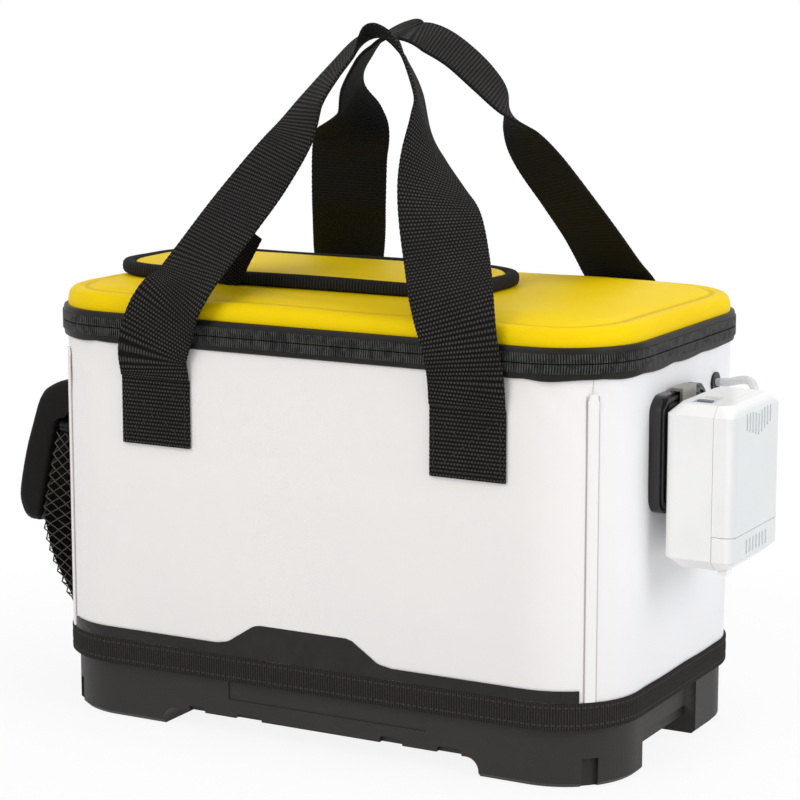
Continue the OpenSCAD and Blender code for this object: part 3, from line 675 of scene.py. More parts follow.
def block(length, height, width, taper, slant=0.0):
    """A small block on the ground, its outer face narrower by taper, to be strewn."""
    deselect()
    bpy.ops.mesh.primitive_cube_add(size=1)
    piece = bpy.context.object
    for v in piece.data.vertices:
        x, y, z = v.co
        a, b = taper if y > 0 else (1.0, 1.0)
        v.co = Vector((
            x * length * a + z * slant * width, (y + 0.5) * height, z * width * b,
        )) * MM
    return piece


def strew(name, unit, places):
    """Copies of one small mesh at many frames (place, along, out, up), as one mesh."""
    corners = [v.co.copy() for v in unit.data.vertices]
    faces = [tuple(p.vertices) for p in unit.data.polygons]
    points, polygons = [], []
    for spot, along, out, up in places:
        start = len(points)
        points += [spot + along * c.x + out * c.y + up * c.z for c in corners]
        polygons += [tuple(start + k for k in face) for face in faces]
    piece = add_mesh(name, points, polygons)
    remove(unit)
    edit(piece, outwards)
    return piece


def outline(half_x, half_y, radius, arc=10, long=20, short=10, gap=0.0, centre=(0, 0)):
    """Rounded loop from the middle of the back, leftwards: (x, y, nx, ny), closed unless gap."""
    lx, ly, half = half_x - radius, half_y - radius, max(1, long // 2)
    points = []
    for (ax, ay), (bx, by), count, (nx, ny) in (
        ((-gap, half_y), (-lx, half_y), half, (0, 1)),
        ((-half_x, ly), (-half_x, -ly), short, (-1, 0)),
        ((-lx, -half_y), (lx, -half_y), long, (0, -1)),
        ((half_x, -ly), (half_x, ly), short, (1, 0)),
        ((lx, half_y), (gap, half_y), half, (0, 1)),
    ):
        for k in range(count):
            t = k / count
            points.append((ax + (bx - ax) * t, ay + (by - ay) * t, nx, ny))
        if bx != gap:
            for k in range(arc):
                angle = atan2(ny, nx) + radians(90 * k / arc)
                c, s = cos(angle), sin(angle)
                points.append((bx - nx * radius + radius * c, by - ny * radius + radius * s, c, s))
    points.append((gap, half_y, 0, 1))
    return [(x + centre[0], y + centre[1], nx, ny) for x, y, nx, ny in points]


def spline_points(stations, steps):
    """The same smooth line through stations as in the part's source."""
    result = []
    last = len(stations) - 1
    for i in range(last):
        before = stations[0] * 2 - stations[1] if i == 0 else stations[i - 1]
        after = stations[last] * 2 - stations[last - 1] if i == last - 1 else stations[i + 2]
        a, b, c, d = before, stations[i], stations[i + 1], after
        for k in range(steps):
            t = k / steps
            result.append(0.5 * (
                2 * b + (c - a) * t + (2 * a - 5 * b + 4 * c - d) * t * t
                + (3 * b - a - 3 * c + d) * t * t * t
            ))
    result.append(stations[last].copy())
    return result


def web_rings(route, width, thickness, steps=18, selvedge=0.22):
    """Rings of a flat band's section along a route; its edges are bumpy."""
    mid = spline_points([Vector(p) for p, w in route], steps)
    way = spline_points([Vector(w) for p, w in route], steps)
    half, thick = width / 2, thickness / 2
    spread = [-0.975, -0.9, -0.6, -0.3, 0, 0.3, 0.6, 0.9, 0.975]
    section = [(s * half, thick * (0.8 if abs(s) > 0.95 else 1)) for s in spread]
    section += [(half, 0.0)]
    section += [(-a, -b) for a, b in section[:9]] + [(-half, 0.0)]
    bumps = [[a + copysign(size, a) * (abs(a) > half * 0.95) for a, b in section]
             for size in (0.0, selvedge)]
    rings = []
    for i, point in enumerate(mid):
        t = heading(mid, i)
        across = (way[i] - way[i].dot(t) * t).normalized()
        up = t.cross(across)
        rings.append([
            point + across * a + up * b for a, (_, b) in zip(bumps[i % 2], section)
        ])
    return rings


def tube_rings(points, diameter, sides=12):
    """Rings of a round tube along a line that never runs along the guide."""
    rings = []
    guide = Vector((0.3, 0.85, 0.42))
    turns = [k * tau / sides for k in range(sides)]
    for i, point in enumerate(points):
        t = heading(points, i)
        a = t.cross(guide).normalized()
        b = t.cross(a)
        rings.append([
            point + diameter / 2 * (cos(turn) * a + sin(turn) * b) for turn in turns
        ])
    return rings


def step(value, low, high):
    """0 below low, 1 above high, smooth between."""
    t = min(1.0, max(0.0, (value - low) / (high - low)))
    return t * t * (3 - 2 * t)


def profile_at(profile, d):
    """Height of a profile of (distance, height) points at a distance."""
    for (d0, z0), (d1, z1) in zip(profile, profile[1:]):
        if d <= d1:
            return z0 + (z1 - z0) * (d - d0) / (d1 - d0)
    return profile[-1][1]


def inward(point, d, z):
    """The place d inside an outline's point, at height z."""
    x, y, nx, ny = point
    return (x - nx * d, y - ny * d, z)


def cut_tube_hole(piece, x0, x1):
    """Cut the air tube's hole along X through a wall between x0 and x1."""
    deselect()
    bpy.ops.mesh.primitive_cylinder_add(
        vertices=32, radius=TUBE_HOLE_RADIUS * MM, depth=(x1 - x0) * MM,
        location=((x0 + x1) / 2 * MM, TUBE_HOLE_Y * MM, TUBE_HOLE_Z * MM),
        rotation=(0, pi / 2, 0),
    )
    cutter = bpy.context.object
    apply(piece, "BOOLEAN", operation="DIFFERENCE", object=cutter, solver="EXACT")
    remove(cutter)


def dress(piece, material, body, *nodes, degrees=35):
    """Give a piece its finish, its body and the nodes it stands for."""
    piece.data.materials.clear()
    piece.data.materials.append(material)
    only(piece)
    bpy.ops.object.shade_smooth_by_angle(angle=radians(degrees))
    if body:
        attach(piece, body)
    if nodes:
        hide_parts(*nodes)
    return piece


def body_loop(**settings):
    s = sizes()
    return outline(s.body_length / MM / 2, s.body_depth / MM / 2, s.corner_radius / MM, **settings)


# ---------- operators ----------


class SetCamera(bpy.types.Operator):
    """Set the camera where the photograph was taken from"""

    bl_idname = "bait_bucket.camera"
    bl_label = "Camera"

    def execute(self, context):
        bpy.ops.object.camera_add(
            location=(0.7500, -1.3693, 0.4712),
            rotation=(radians(90 - 10.11), 0, radians(28.63)),
        )
        camera = bpy.context.object
        camera.name = "photo_camera"
        camera.data.sensor_width = 36
        camera.data.lens = 116.34
        context.scene.camera = camera
        return {"FINISHED"}


class MakeTubes(bpy.types.Operator):
    """Make the air tube, outside and inside the body"""

    bl_idname = "bait_bucket.tubes"
    bl_label = "Air tubes"

    def execute(self, context):
        finish = tube_finish("clear_tube")
        width = sizes().tube_diameter / MM
        for name, node, route, steps in (
            ("tube_outside", "air_tube_outer", OUTER_TUBE, 8),
            ("tube_inside", "air_tube_inner", INNER_TUBE, 6),
        ):
            path = spline_points([Vector(p) for p in route], steps)
            piece = rod(name, tube_rings(path, width))
            outside = name == "tube_outside"
            dress(piece, finish, None if outside else "body", node, degrees=60)
            if outside:
                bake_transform(piece)
        return {"FINISHED"}


class MakeWalls(bpy.types.Operator):
    """Make the coated cloth walls, their seam strips and the front band"""

    bl_idname = "bait_bucket.walls"
    bl_label = "Cloth walls"

    def execute(self, context):
        white = tarpaulin_finish("coated_cloth", colours().walls)
        loop = body_loop(arc=14, long=36, short=18)
        rows, foot, top = 56, 36, 242.85

        def place(i, j):
            x, y, nx, ny = loop[i]
            z = foot + (top - foot) * j / rows
            corner = max(0.0, 1 - abs(abs(nx * ny) * 2 - 1) * 1.1)
            belly = step(z, 54, 90) * (1 - step(z, 150, 172))
            out = 0.9 * belly * (1 - corner)
            if abs(nx) > 0.9:
                out *= 0.0 if nx < 0 else 0.4
            high = step(z, 188, 226) * (1 - step(z, 233, 238))
            near = max(0.0, 1 - min(abs(abs(x) - 160), abs(abs(x) - 175)) / 34)
            tuck = sin(x * 0.33 + z * 0.21) * 0.55 + sin(y * 0.41 - z * 0.17) * 0.4
            out += tuck * high * near * 1.3 - 0.5 * high * corner
            return (x + nx * out, y + ny * out, z)

        walls = sheet("walls_cloth", len(loop) - 1, rows, place, 1.5, weld)
        cut_tube_hole(walls, 170, 196)
        dress(walls, white, "body", "outer_shell")

        section = (
            (-3.4, 0.08), (-3.25, 0.7), (-2.5, 1.15), (-1.2, 1.28), (1.2, 1.28), (2.5, 1.15),
            (3.25, 0.7), (3.4, 0.08),
        )
        heights = [51.2 + (219.5 - 51.2) * k / 28 for k in range(29)]
        heights += [220.0, 222.0, 224.0, 226.0]
        strips = []
        for sx, sy in ((-1, -1), (-1, 1), (1, -1), (1, 1)):
            rings = []
            for z in heights:
                lean = 1.0 if z < 220 else 1.06 - (z - 220) * 0.085
                ring = []
                for across, out in section:
                    angle = atan2(sy, sx) + across * lean / CORNER
                    r = CORNER + out
                    x, y = sx * CORE_X + r * cos(angle), sy * CORE_Y + r * sin(angle)
                    ring.append((x, y, z))
                rings.append(ring)
            strips.append(rod("seam_strip", rings))
        dress(join(strips, "seam_strips"), white, "body", "corner_welts")

        reach, columns, film_rows = 173, 173, 8
        film_top = [
            (-174, 58.0), (-62, 58.0), (-54, 59.5), (-36, 71), (-32, 72), (27, 72), (31, 71),
            (48, 59.5), (57, 58.0), (174, 58.0),
        ]

        def film_at(i, j):
            s = -reach + 2 * reach * i / columns
            x, y, nx, ny = s, -HALF_Y, 0.0, -1.0
            if abs(s) > CORE_X:
                angle = (abs(s) - CORE_X) / CORNER
                nx, ny = copysign(sin(angle), s), -cos(angle)
                x, y = copysign(CORE_X, s) + CORNER * nx, -CORE_Y + CORNER * ny
            z = TAPE_TOP + (profile_at(film_top, s) - TAPE_TOP) * j / film_rows
            out = 0.95 - 0.25 * (j == film_rows) + 0.12 * sin(s * 0.6) * sin(j)
            return (x + nx * out, y + ny * out, z)

        band = sheet("front_film_band", columns, film_rows, film_at, 0.85)
        dress(band, black_vinyl_finish("front_film", rough=0.3), "body", "kick_band")
        return {"FINISHED"}


class MakeTape(bpy.types.Operator):
    """Make the ribbed binding tape round the base"""

    bl_idname = "bait_bucket.tape"
    bl_label = "Binding tape"

    def execute(self, context):
        loop = body_loop(arc=18, long=60, short=28)

        def wave(height, size):
            return lambda i: height + size * (
                sin(loop[i][0] * 0.075) * 0.6 + sin(loop[i][1] * 0.11 + 1) * 0.5
            )

        section = [
            (1.1, 35.1), (1.5, wave(35.6, 0.2)), (1.6, 38.2), (1.35, 39.2), (1.6, 41),
            (1.6, 45), (1.35, 47.4), (1.6, wave(48.8, 0.2)), (1.5, wave(50.3, 0.35)),
            (0.9, wave(50.8, 0.35)), (0.08, wave(50.6, 0.35)), (0.08, 36.1), (-9.5, 36.0),
            (-9.5, 35.1),
        ]
        piece = loop_bar("binding", loop, section, True)
        dress(piece, tape_finish("ribbed_tape", (0.0135, 0.012, 0.011)), "body", "binding_tape")
        return {"FINISHED"}


class MakeZip(bpy.types.Operator):
    """Make the zip: both bands, both rows of coil and the hinge cloth"""

    bl_idname = "bait_bucket.zip"
    bl_label = "Zip"

    def execute(self, context):
        vinyl = black_vinyl_finish("zip_band", (0.012, 0.011, 0.0095), 0.42, 0.16)
        coil = coil_finish("zip_coil")
        loop = body_loop(arc=16, long=56, short=24, gap=129.8)

        def ragged(i, up=0.0):
            x, y, _, _ = loop[i]
            near = max(0.0, 1 - min(abs(abs(x) - 150), abs(abs(x) - 185)) / 40)
            droop = sin(x * 0.11 + y * 0.085) * 0.7 + sin(x * 0.045 - y * 0.06) * 0.6
            return ZIP_FOOT - near * abs(droop) * 1.1 + up

        low = [
            (0.1, 234.4), (1.3, ragged), (2.2, lambda i: ragged(i, 0.7)), (2.5, 236.2),
            (2.5, 242.8), (0.1, 242.8),
        ]
        high = [
            (0.15, LID_FOOT), (2.5, LID_FOOT), (2.5, 250.6), (2.1, 251.5), (1.2, 251.95),
            (0.15, ZIP_TOP),
        ]
        fine = body_loop(arc=52, long=372, short=80, gap=129.0)
        coil_height, pitch, coil_out = 5.4, 1.5, 2.48
        halves = (("lower", low, 240.1, 0.06, "body"), ("upper", high, 246.0, -0.06, "lid"))
        for half, section, _, _, body in halves:
            band = loop_bar("zip_band_" + half, loop, section, False)
            dress(band, vinyl, body, half + "_zip_tape")
        for half, _, z, slant, body in halves:
            places = []
            gone = 0.0
            for a, b in zip(fine, fine[1:]):
                start, end = Vector((a[0], a[1], 0)), Vector((b[0], b[1], 0))
                gap = (end - start).length
                while gone < gap:
                    t = gone / gap
                    n = Vector((a[2] + (b[2] - a[2]) * t, a[3] + (b[3] - a[3]) * t, 0))
                    n.normalize()
                    spot = start.lerp(end, t) + n * coil_out + ALONG_Z * z
                    places.append((spot * MM, Vector((-n.y, n.x, 0)), n, ALONG_Z))
                    gone += pitch
                gone -= gap
            tooth = block(0.95, 0.78, coil_height, (0.7, 0.94), slant)
            teeth = strew("zip_coil_" + half, tooth, places)
            dress(teeth, coil, body, half + "_zip_teeth", degrees=20)

        columns, rows, reach = 60, 12, 129.7

        def hinge_at(i, j):
            groove = 0.35 * exp(-((j - rows / 2) ** 2) / 1.5)
            out = 2.3 - 0.5 * (j in (0, rows)) - groove
            return (reach * (1 - 2 * i / columns), HALF_Y + out,
                    ZIP_FOOT + (ZIP_TOP - ZIP_FOOT) * j / rows)

        hinge = sheet("lid_hinge_cloth", columns, rows, hinge_at, 1.9)
        dress(hinge, vinyl, None, "lid_hinge_strip")
        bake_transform(hinge)
        return {"FINISHED"}


def stitch_places(x, side, half):
    """Frames of the stitches on one sewn end: a box with a cross in it."""
    y, out = side * (SEWN_Y + 1.13), Vector((0, side, 0))
    bottom, top, middle, rise = 178.0, 210.0, 194, 32
    places = []

    def sew(dx, z, along, up):
        places.append((Vector((x + dx, y, z)) * MM, along, out, up))

    for z in (bottom, top):
        for k in range(11):
            sew(half * (k / 5 - 1), z, ALONG_X, ALONG_Z)
    for s in (-1, 1):
        slope = Vector((2 * half, 0, s * rise)).normalized()
        for k in range(8):
            t = (k + 0.5) / 8
            sew(s * half, 180.5 + 27 * k / 7, ALONG_Z, ALONG_X)
            sew(half * (2 * t - 1), middle + s * (t - 0.5) * rise, slope, out.cross(slope))
    return places


class MakeHandles(bpy.types.Operator):
    """Make both webbing handles and their sewn ends"""

    bl_idname = "bait_bucket.handles"
    bl_label = "Webbing handles"

    def execute(self, context):
        thread = moulded_finish("black_thread", (0.02, 0.019, 0.018), 1600.0, 0.6)
        width = sizes().strap_width / MM
        thick = sizes().strap_thickness / MM
        face = sizes().strap_width
        webs = {}
        # Each web's inner face, across the section, is painted as flat shade.
        for end, route, inside in (
            ("front", FRONT_ROUTE, (-1.0, face)), ("rear", REAR_ROUTE, (face, 1.0)),
        ):
            webs[end] = webbing_finish("webbing_" + end, colours().webbing, inside)
            handle = rod("handle_" + end, web_rings(route, width, thick))
            dress(handle, webs[end], end + "_handle", end + "_handle", degrees=40)
        for end, side, feet in (("front", -1, (-102, 106)), ("rear", 1, (-104, 102))):
            patches, places = [], []
            for x in feet:
                rise = [
                    ((x, side * SEWN_Y, SEWN_FOOT + 40.6 * k / 8), (1, 0, 0)) for k in range(9)
                ]
                patches.append(rod("patch", web_rings(rise, width, 2.3, 4)))
                places += stitch_places(x, side, width / 2 - 3)
            patch = join(patches, "sewn_ends_" + end)
            dress(patch, webs[end], "body", end + "_strap_anchors", degrees=40)
            stitches = strew(patch.name + "_stitches", block(2.6, 0.35, 0.6, (0.8, 0.7)), places)
            dress(stitches, thread, "body", degrees=20)
        return {"FINISHED"}


class MakeLid(bpy.types.Operator):
    """Make the padded lid, its lining and the quick-access hatch"""

    bl_idname = "bait_bucket.lid"
    bl_label = "Padded lid and hatch"

    def execute(self, context):
        yellow = lid_cloth_finish("yellow_cloth", colours().lid)
        counts = dict(arc=12, long=48, short=20)
        lid = body_loop(**counts)
        hole = outline(113, 39, 29, centre=HATCH_CENTRE, **counts)
        edge = [
            (0.15, LID_FOOT), (0.2, 247), (0.2, 251), (0.25, 254.8), (0.7, 257.6), (1.7, 259.9),
            (3.4, 261.5), (5.6, 262.3), (7.8, 262.3), (9.6, 261.9), (11.0, 261.45),
            (12.0, 261.35), (13.2, 261.75), (15.2, 262.6), (18, 263.5), (21, 264.2),
        ]
        inner_rows = 9

        def to_hole(i, d, t):
            """A place between the lid's outline, d inside it, and the hatch's hole."""
            ax, ay, _ = inward(lid[i], d, 0)
            hx, hy = hole[i][:2]
            return ax + (hx - ax) * t, ay + (hy - ay) * t, hypot(hx - ax, hy - ay)

        def place(i, j):
            if j < len(edge):
                d, z = edge[j]
                wave = sin(lid[i][0] * 0.05 + lid[i][1] * 0.03)
                return inward(lid[i], d, z + 0.35 * wave * step(z, 252, 258))
            t = (j - len(edge) + 1) / inner_rows
            x, y, span = to_hole(i, edge[-1][0], t)
            swell = 0.5 * sin(pi * t) * step(span, 20, 70)
            return (x, y, edge[-1][1] + 1.7 * step(t * span, 0, 26) + swell)

        cover = sheet("lid_pad", len(lid) - 1, len(edge) - 1 + inner_rows, place, 0.8, weld)
        dress(cover, yellow, "lid", "lid_cover", degrees=60)

        lining_rows = 12

        def under(i, j):
            x, y, _ = to_hole(i, 1.9, j / lining_rows)
            wave = sin(lid[i][0] * 0.03 + lid[i][1] * 0.02) - 1
            return (x, y, 244.55 + 0.15 * sin(pi * j / lining_rows) * wave)

        lining = sheet("lid_lining", len(lid) - 1, lining_rows, under, 1.0, weld)
        white = liner_finish("liner_film", (0.74, 0.76, 0.765))
        dress(lining, white, "lid", "lid_liner", degrees=50)

        hatch = outline(128, 54, 44, centre=HATCH_CENTRE, **counts)

        def wavy(height, size):
            return lambda i: height + size * sin(hatch[i][0] * 0.045 + hatch[i][1] * 0.06)

        bead = [
            (-7.6, 267.2), (-5.0, 266.6), (-2.0, 266.6), (-0.5, 267.4), (0.15, 269.0),
            (0.3, 271.0), (0.0, wavy(272.8, 0.2)), (-1.2, wavy(274.1, 0.25)),
            (-3.4, wavy(274.6, 0.25)), (-5.8, wavy(274.4, 0.25)), (-7.6, 273.3), (-8.0, 271.0),
        ]
        piece = loop_bar("hatch_edge_binding", hatch, bead, True)
        black = tape_finish("hatch_tape", TAPE_BLACK, 0.0021)
        dress(piece, black, "hatch", "hatch_binding", degrees=60)

        pad = [
            (43.5, 268.3), (30, 268.3), (16, 268.3), (8.2, 268.35), (8.0, 270.5), (8.1, 272.6),
            (9.0, 273.4), (11, 273.9), (15, 274.2), (22, 274.4), (31, 274.5), (43.5, 274.55),
        ]

        def pad_at(i, j):
            x, y, _, _ = hatch[i]
            d, z = pad[j]
            wave = 0.18 * sin(x * 0.09) * cos(y * 0.1)
            return inward(hatch[i], d, z + wave * (j > 5))

        piece = cloth_grid("hatch_pad", len(hatch) - 1, len(pad) - 1, pad_at)
        edit(piece, weld, cap_ends, outwards)
        dress(piece, yellow, "hatch", "hatch_panel", degrees=50)

        # The tab's float tops are painted 8 times lighter, as highlights.
        web = webbing_finish("tab_webbing", colours().webbing, None, 0.0019, 0.0017, 8.0)
        route = [
            ((-84.9, -63.1, 267.3), (1, 0, 0)), ((-82, -63.3, 273), (1, 0, -0.02)),
            ((-76.6, -63.4, 283), (1, 0, -0.04)), ((-71, -63.1, 293), (1, 0, -0.06)),
            ((-66.6, -62.9, 300.6), (1, 0, -0.08)),
        ]
        tab = rod("hatch_tab", web_rings(route, 22.4, 1.9, 5))
        dress(tab, web, "hatch", "hatch_pull_tab", degrees=40)

        columns, rows = 40, 8

        def hinge_at(i, j):
            return (139.6 * i / columns - 120.8, 46.2 + 8.6 * j / rows,
                    267.0 - 0.15 * (j in (0, rows)))

        hinge = sheet("hatch_hinge_cloth", columns, rows, hinge_at, 0.8)
        dress(hinge, black, None, "hatch_hinge_strip")
        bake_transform(hinge)
        return {"FINISHED"}


class MakeLiner(bpy.types.Operator):
    """Make the welded inner liner"""

    bl_idname = "bait_bucket.liner"
    bl_label = "Inner liner"

    def execute(self, context):
        loop = outline(178.45, 98.45, 38.5, arc=12, long=36, short=18)
        rows = [
            (38.0, FLOOR_Z), (26, FLOOR_Z), (14, FLOOR_Z), (6, FLOOR_Z), (2.6, 36.4),
            (0.9, 37.6), (0.1, 40),
        ]
        wall_starts = len(rows)
        rows += [(0.0, 40 + 201.3 * k / 20) for k in range(1, 21)]
        rows += [(-5.0, 241.3), (-9.9, 241.3)]

        def place(i, j):
            x, y, _, _ = loop[i]
            d, z = rows[j]
            if j > wall_starts and z < 238:
                dent = sin(x * 0.06 + z * 0.05) * sin(y * 0.08 - z * 0.04)
                d += 0.25 * max(0.0, dent)
            return inward(loop[i], d, z)

        liner = sheet("liner_tub", len(loop) - 1, len(rows) - 1, place, 1.5, weld, fill_floor)
        cut_tube_hole(liner, 170, 184)
        dress(liner, bpy.data.materials["liner_film"], "body", "inner_liner", degrees=50)
        return {"FINISHED"}


def fill_floor():
    """Close the small hole left in the middle of a tub's floor."""
    bpy.ops.mesh.select_all(action="DESELECT")
    bpy.ops.object.mode_set(mode="OBJECT")
    for v in bpy.context.object.data.vertices:
        v.select = v.co.z < 0.0365 and abs(v.co.x) < 0.14051 and abs(v.co.y) < 0.0606
    bpy.ops.object.mode_set(mode="EDIT")
    bpy.ops.mesh.select_mode(type="VERT")
    bpy.ops.mesh.edge_face_add()
    bpy.ops.mesh.select_all(action="SELECT")


class MakePocket(bpy.types.Operator):
    """Make the side pocket: net, fine mesh behind it, elastic hem and padded flap"""

    bl_idname = "bait_bucket.pocket"
    bl_label = "Side pocket"

    def execute(self, context):
        face = [(0.9, 54.6), (5, 55.6), (11, 59.6), (21, 77.5), (27, 92), (30.6, 108), (17.2, 165)]
        lengths = walked(face)

        def on_face(s):
            """How far out and how high the net's face is, s along it from its foot."""
            s = min(max(s, 0.0), lengths[-1])
            for a, b, start, end in zip(face, face[1:], lengths, lengths[1:]):
                if s <= end:
                    t = (s - start) / (end - start)
                    return (a[0] + (b[0] - a[0]) * t, a[1] + (b[1] - a[1]) * t)
            return face[-1]

        cell = sizes().net_cell / MM
        side = 30.0
        reach = POCKET_HALF + side
        columns = int(2 * reach / cell)
        rows = int(lengths[-1] / (cell * 0.62))

        def net_point(i, j):
            out, z = on_face(lengths[-1] * j / rows)
            w = -reach + 2 * reach * i / columns
            if abs(w) <= POCKET_HALF:
                swell = 1.0 - 0.05 * cos(w / POCKET_HALF * pi)
                return (-HALF_X - min(out * swell, 30.9), -w, z)
            back = (abs(w) - POCKET_HALF) / side
            return (-HALF_X - 0.8 - (out - 0.8) * (1 - back), -copysign(67.4, w), z)

        knots = [(i, j) for j in range(rows + 1) for i in range(columns + 1) if (i + j) % 2 == 0]
        index = {knot: k for k, knot in enumerate(knots)}
        faces = [
            (index[(i - 1, j)], index[(i, j - 1)], index[(i + 1, j)], index[(i, j + 1)])
            for j in range(1, rows) for i in range(1, columns) if (i + j) % 2 == 1
        ]
        net = add_mesh("pocket_net_cords", [Vector(net_point(i, j)) * MM for i, j in knots], faces)
        edit(net, weld)
        apply(net, "WIREFRAME", thickness=0.95 * MM, use_even_offset=False, use_boundary=True)
        edit(net, outwards)
        cord = moulded_finish("net_cord", (0.075, 0.066, 0.052), 1500.0, 0.6)
        dress(net, cord, "body", "pocket_net", degrees=50)

        across, down = 44, 24

        def lining_at(i, j):
            out, z = on_face(3 + (lengths[-1] - 3) * j / down)
            w = -66.2 + 132.4 * i / across
            tuck = 1.6 + 0.6 * sin(w * 0.21 + z * 0.08) * sin(z * 0.13)
            return (-HALF_X - max(0.4, out - tuck), -w, z + 0.4)

        lining = sheet("pocket_lining", across, down, lining_at, 0.5)
        dress(lining, pad_finish("fine_black_mesh"), "body", degrees=50)

        turn = [(-190.6, 67.2), (-196, 67.2), (-203, 66.8), (-206.3, 63.5)]
        hem_path = [Vector((x, y, NET_TOP)) for x, y in turn]
        hem_path += [Vector((-206.4, 63.5 - 127 * k / 12, NET_TOP)) for k in range(1, 13)]
        hem_path += [Vector((x, -y, NET_TOP)) for x, y in reversed(turn[:3])]
        section = (
            (0.9, -2.2), (0.9, 2.2), (0.45, 2.8), (-0.45, 2.8), (-0.9, 2.2), (-0.9, -2.2),
            (-0.45, -2.8), (0.45, -2.8),
        )
        path = spline_points(hem_path, 4)
        rings = []
        for i, point in enumerate(path):
            out = heading(path, i).cross(ALONG_Z)
            wave = 0.12 * sin(i * 1.9)
            rings.append([point + out * (a + wave) + ALONG_Z * b for a, b in section])
        hem = rod("pocket_elastic_hem", rings)
        dress(hem, tape_finish("elastic_hem", TAPE_BLACK, 0.0026), "body", "pocket_hem")

        shape = [Vector((out, z, 0)) for out, z in (
            (0.7, 186.3), (7, 185.2), (14, 180.2), (19.8, 166), (26.5, 137), (33.6, 108.6),
            (38, 105.4), (45, 106.8), (49.2, 113.2), (49.7, 124), (44, 150), (37.5, 170),
            (31, 187.6), (25, 193.7), (15, 197.7), (0.7, 198.7),
        )]
        ring = spline_points(shape + [shape[0]], 3)[:-1]
        middle = sum(ring, Vector()) / len(ring)
        stations = [(-68.8, 0.62), (-68.3, 0.8), (-66.9, 0.92), (-64, 0.985), (-60, 1.0)]
        stations += [(-60 + 120 * k / 16, 1.0) for k in range(1, 16)]
        stations += [(-y, s) for y, s in reversed(stations[:5])]

        def flap_ring(y, s):
            """The flap's section at y, shrunk by s towards its middle."""
            plump = 1 - 0.02 * cos(y / POCKET_HALF * pi * 2)
            shrunk = [middle.lerp(p, s) for p in ring]
            return [(-HALF_X - q.x * (plump if q.x > 2 else 1), y, q.y) for q in shrunk]

        flap = rod("pocket_flap_pad", [flap_ring(y, s) for y, s in stations])
        dress(flap, pad_finish("matte_pad"), "pocket_flap", "pocket_flap", degrees=60)
        return {"FINISHED"}


class FinishMouldings(bpy.types.Operator):
    """Give the moulded, metal and foam nodes their finishes"""

    bl_idname = "bait_bucket.finishes"
    bl_label = "Rigid finishes"

    def execute(self, context):
        case = gloss_case_finish("white_case", colours().aerator)
        black = moulded_finish("black_moulding", (0.009, 0.009, 0.0095), 1200.0, 0.2, 0.00006, 0.5)
        steel = metal_finish("bright_steel")
        foam = foam_finish("closed_cell_foam", (0.72, 0.73, 0.74))
        finishes = {
            "base_tray": moulded_finish("base_moulding", colours().base),
            "base_insulation": foam, "wall_insulation": foam, "lid_insulation": foam,
            "hatch_rim": black, "bracket_frame": black, "catch_plates": steel,
            "hatch_magnets": metal_finish("magnet_nickel", (0.6, 0.59, 0.57)),
            "hatch_underside": moulded_finish("hatch_lining", (0.02, 0.02, 0.021), 700.0, 0.6),
            "zip_slider": metal_finish("gunmetal", (0.10, 0.10, 0.105), 0.34),
            "zip_pull": metal_finish("gunmetal_pull", (0.12, 0.12, 0.125), 0.34),
            "bracket_screws": steel, "clip_screws": steel,
            "tube_grommet": moulded_finish("grommet_rubber", (0.012, 0.014, 0.016), rough=0.35),
            "aerator_back_shell": case, "aerator_front_shell": case, "battery_door": case,
            "power_switch": moulded_finish("switch_grey", (0.20, 0.24, 0.29), rough=0.4),
            "aerator_clip": metal_finish("clip_steel", (0.44, 0.42, 0.38), 0.3),
            "battery_cells": cell_finish("cell_wrap"),
            "contact_springs": metal_finish("spring_nickel", (0.62, 0.61, 0.58), 0.25),
            "contact_plate": metal_finish("contact_brass", (0.62, 0.47, 0.22), 0.3),
            "air_pump": moulded_finish("pump_housing", (0.06, 0.065, 0.07), rough=0.45),
            "pump_motor": metal_finish("motor_can", (0.5, 0.5, 0.5), 0.35),
            "motor_crank": metal_finish("crank_brass", (0.65, 0.48, 0.2), 0.3),
            "air_outlet": moulded_finish("outlet_grey", (0.55, 0.56, 0.57), rough=0.35),
            "air_stone": stone_finish("air_stone_grains"),
        }
        for node, material in finishes.items():
            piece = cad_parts[node]
            if not piece.material_slots:
                piece.data.materials.append(material)
            for slot in piece.material_slots:
                slot.material = material
        return {"FINISHED"}


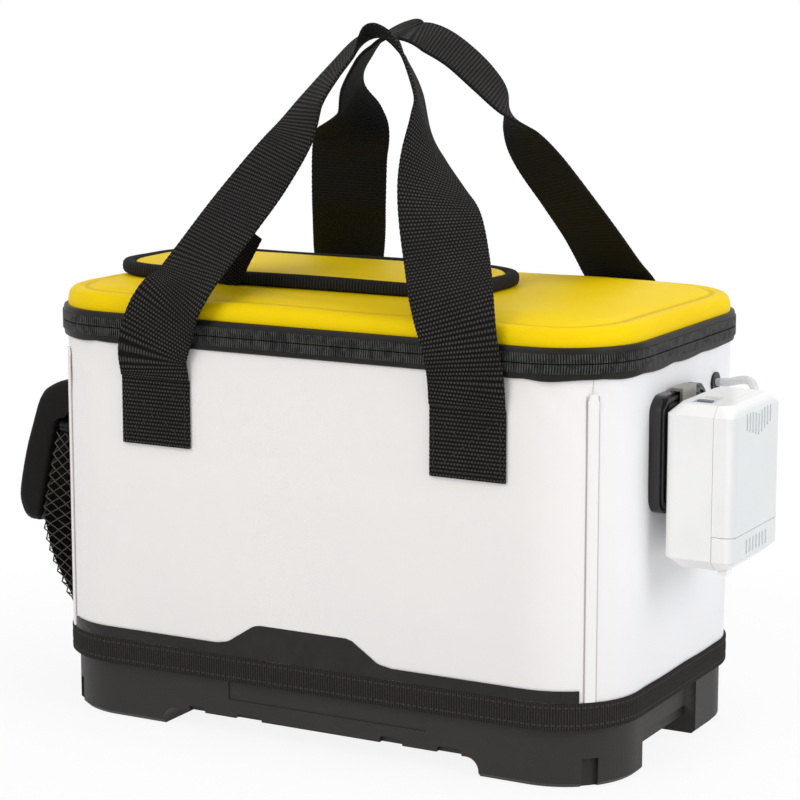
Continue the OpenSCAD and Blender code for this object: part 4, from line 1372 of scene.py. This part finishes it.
class SetStage(bpy.types.Operator):
    """Set the floor, the world and the studio lamps"""

    bl_idname = "bait_bucket.stage"
    bl_label = "Stage"

    def execute(self, context):
        deselect()
        bpy.ops.mesh.primitive_plane_add(size=16, location=(0, 0, -0.0004))
        floor = bpy.context.object
        floor.name = "floor"
        f = Finish("floor_white", Roughness=0.9, Specular_IOR_Level=0.1)
        f.into("Base Color", (0.9, 0.9, 0.9))
        x, y, _ = f.parts(f.place())
        far = (x * x + y * y).root().step(0.26, 0.52)
        glow = f.node("Emission", None, {"Color": (1, 1, 1), "Strength": 1.0})
        f.show(f.plain_sight() * (0.88 + far * 0.12), glow, "Material Output")
        floor.data.materials.append(f.material)
        bpy.ops.object.transform_apply(location=True, rotation=True, scale=True)

        name = "studio_world"
        f = Finish(
            name, bpy.data.worlds.new(name), "Background", Color=(0.96, 0.98, 1.0), Strength=0.56,
        )
        shown = f.node("Background", None, {"Color": (1, 1, 1), "Strength": 1.0})
        f.show(f.plain_sight(), shown, "World Output")
        context.scene.world = f.material

        for name, place, size, power, tint in (
            ("key_softbox", (-0.6, -2.4, 1.9), 1.6, 27, (1, 0.97, 0.945)),
            ("side_softbox", (2.4, -0.3, 1.4), 1.4, 27, (0.98, 0.975, 1)),
            ("top_softbox", (0, 0.6, 2.4), 1.6, 11, (1, 1, 1)),
        ):
            way = Vector((0, 0, 0.2)) - Vector(place)
            bpy.ops.object.light_add(
                type="AREA", location=place, rotation=way.to_track_quat("-Z", "Y").to_euler(),
            )
            lamp = bpy.context.object
            lamp.name = name
            lamp.data.size = size
            lamp.data.energy = power
            lamp.data.color = tint
        context.scene.view_settings.view_transform = "Standard"
        return {"FINISHED"}


OPERATORS = (
    SetCamera, MakeTubes, MakeWalls, MakeTape, MakeZip, MakeHandles, MakeLid, MakeLiner,
    MakePocket, FinishMouldings, SetStage,
)


class BaitBucketPanel(bpy.types.Panel):
    """Lists the operators that dress the bucket"""

    bl_idname = "VIEW3D_PT_bait_bucket"
    bl_label = "Bait Bucket"
    bl_space_type = "VIEW_3D"
    bl_region_type = "UI"
    bl_category = "Bait Bucket"

    def draw(self, context):
        layout = self.layout
        for group in (context.scene.bait_bucket_sizes, context.scene.bait_bucket_colours):
            for name in group.bl_rna.properties.keys():
                if name not in ("rna_type", "name"):
                    layout.prop(group, name)
        for operator in OPERATORS:
            layout.operator(operator.bl_idname)


CLASSES = (BaitBucketSizes, BaitBucketColours, *OPERATORS, BaitBucketPanel)


def register():
    for cls in CLASSES:
        bpy.utils.register_class(cls)
    bpy.types.Scene.bait_bucket_sizes = PointerProperty(type=BaitBucketSizes)
    bpy.types.Scene.bait_bucket_colours = PointerProperty(type=BaitBucketColours)


def unregister():
    del bpy.types.Scene.bait_bucket_colours
    del bpy.types.Scene.bait_bucket_sizes
    for cls in reversed(CLASSES):
        bpy.utils.unregister_class(cls)


def main():
    register()
    for operator in OPERATORS:
        group, name = operator.bl_idname.split(".")
        getattr(getattr(bpy.ops, group), name)()


if __name__ == "__main__":
    main()
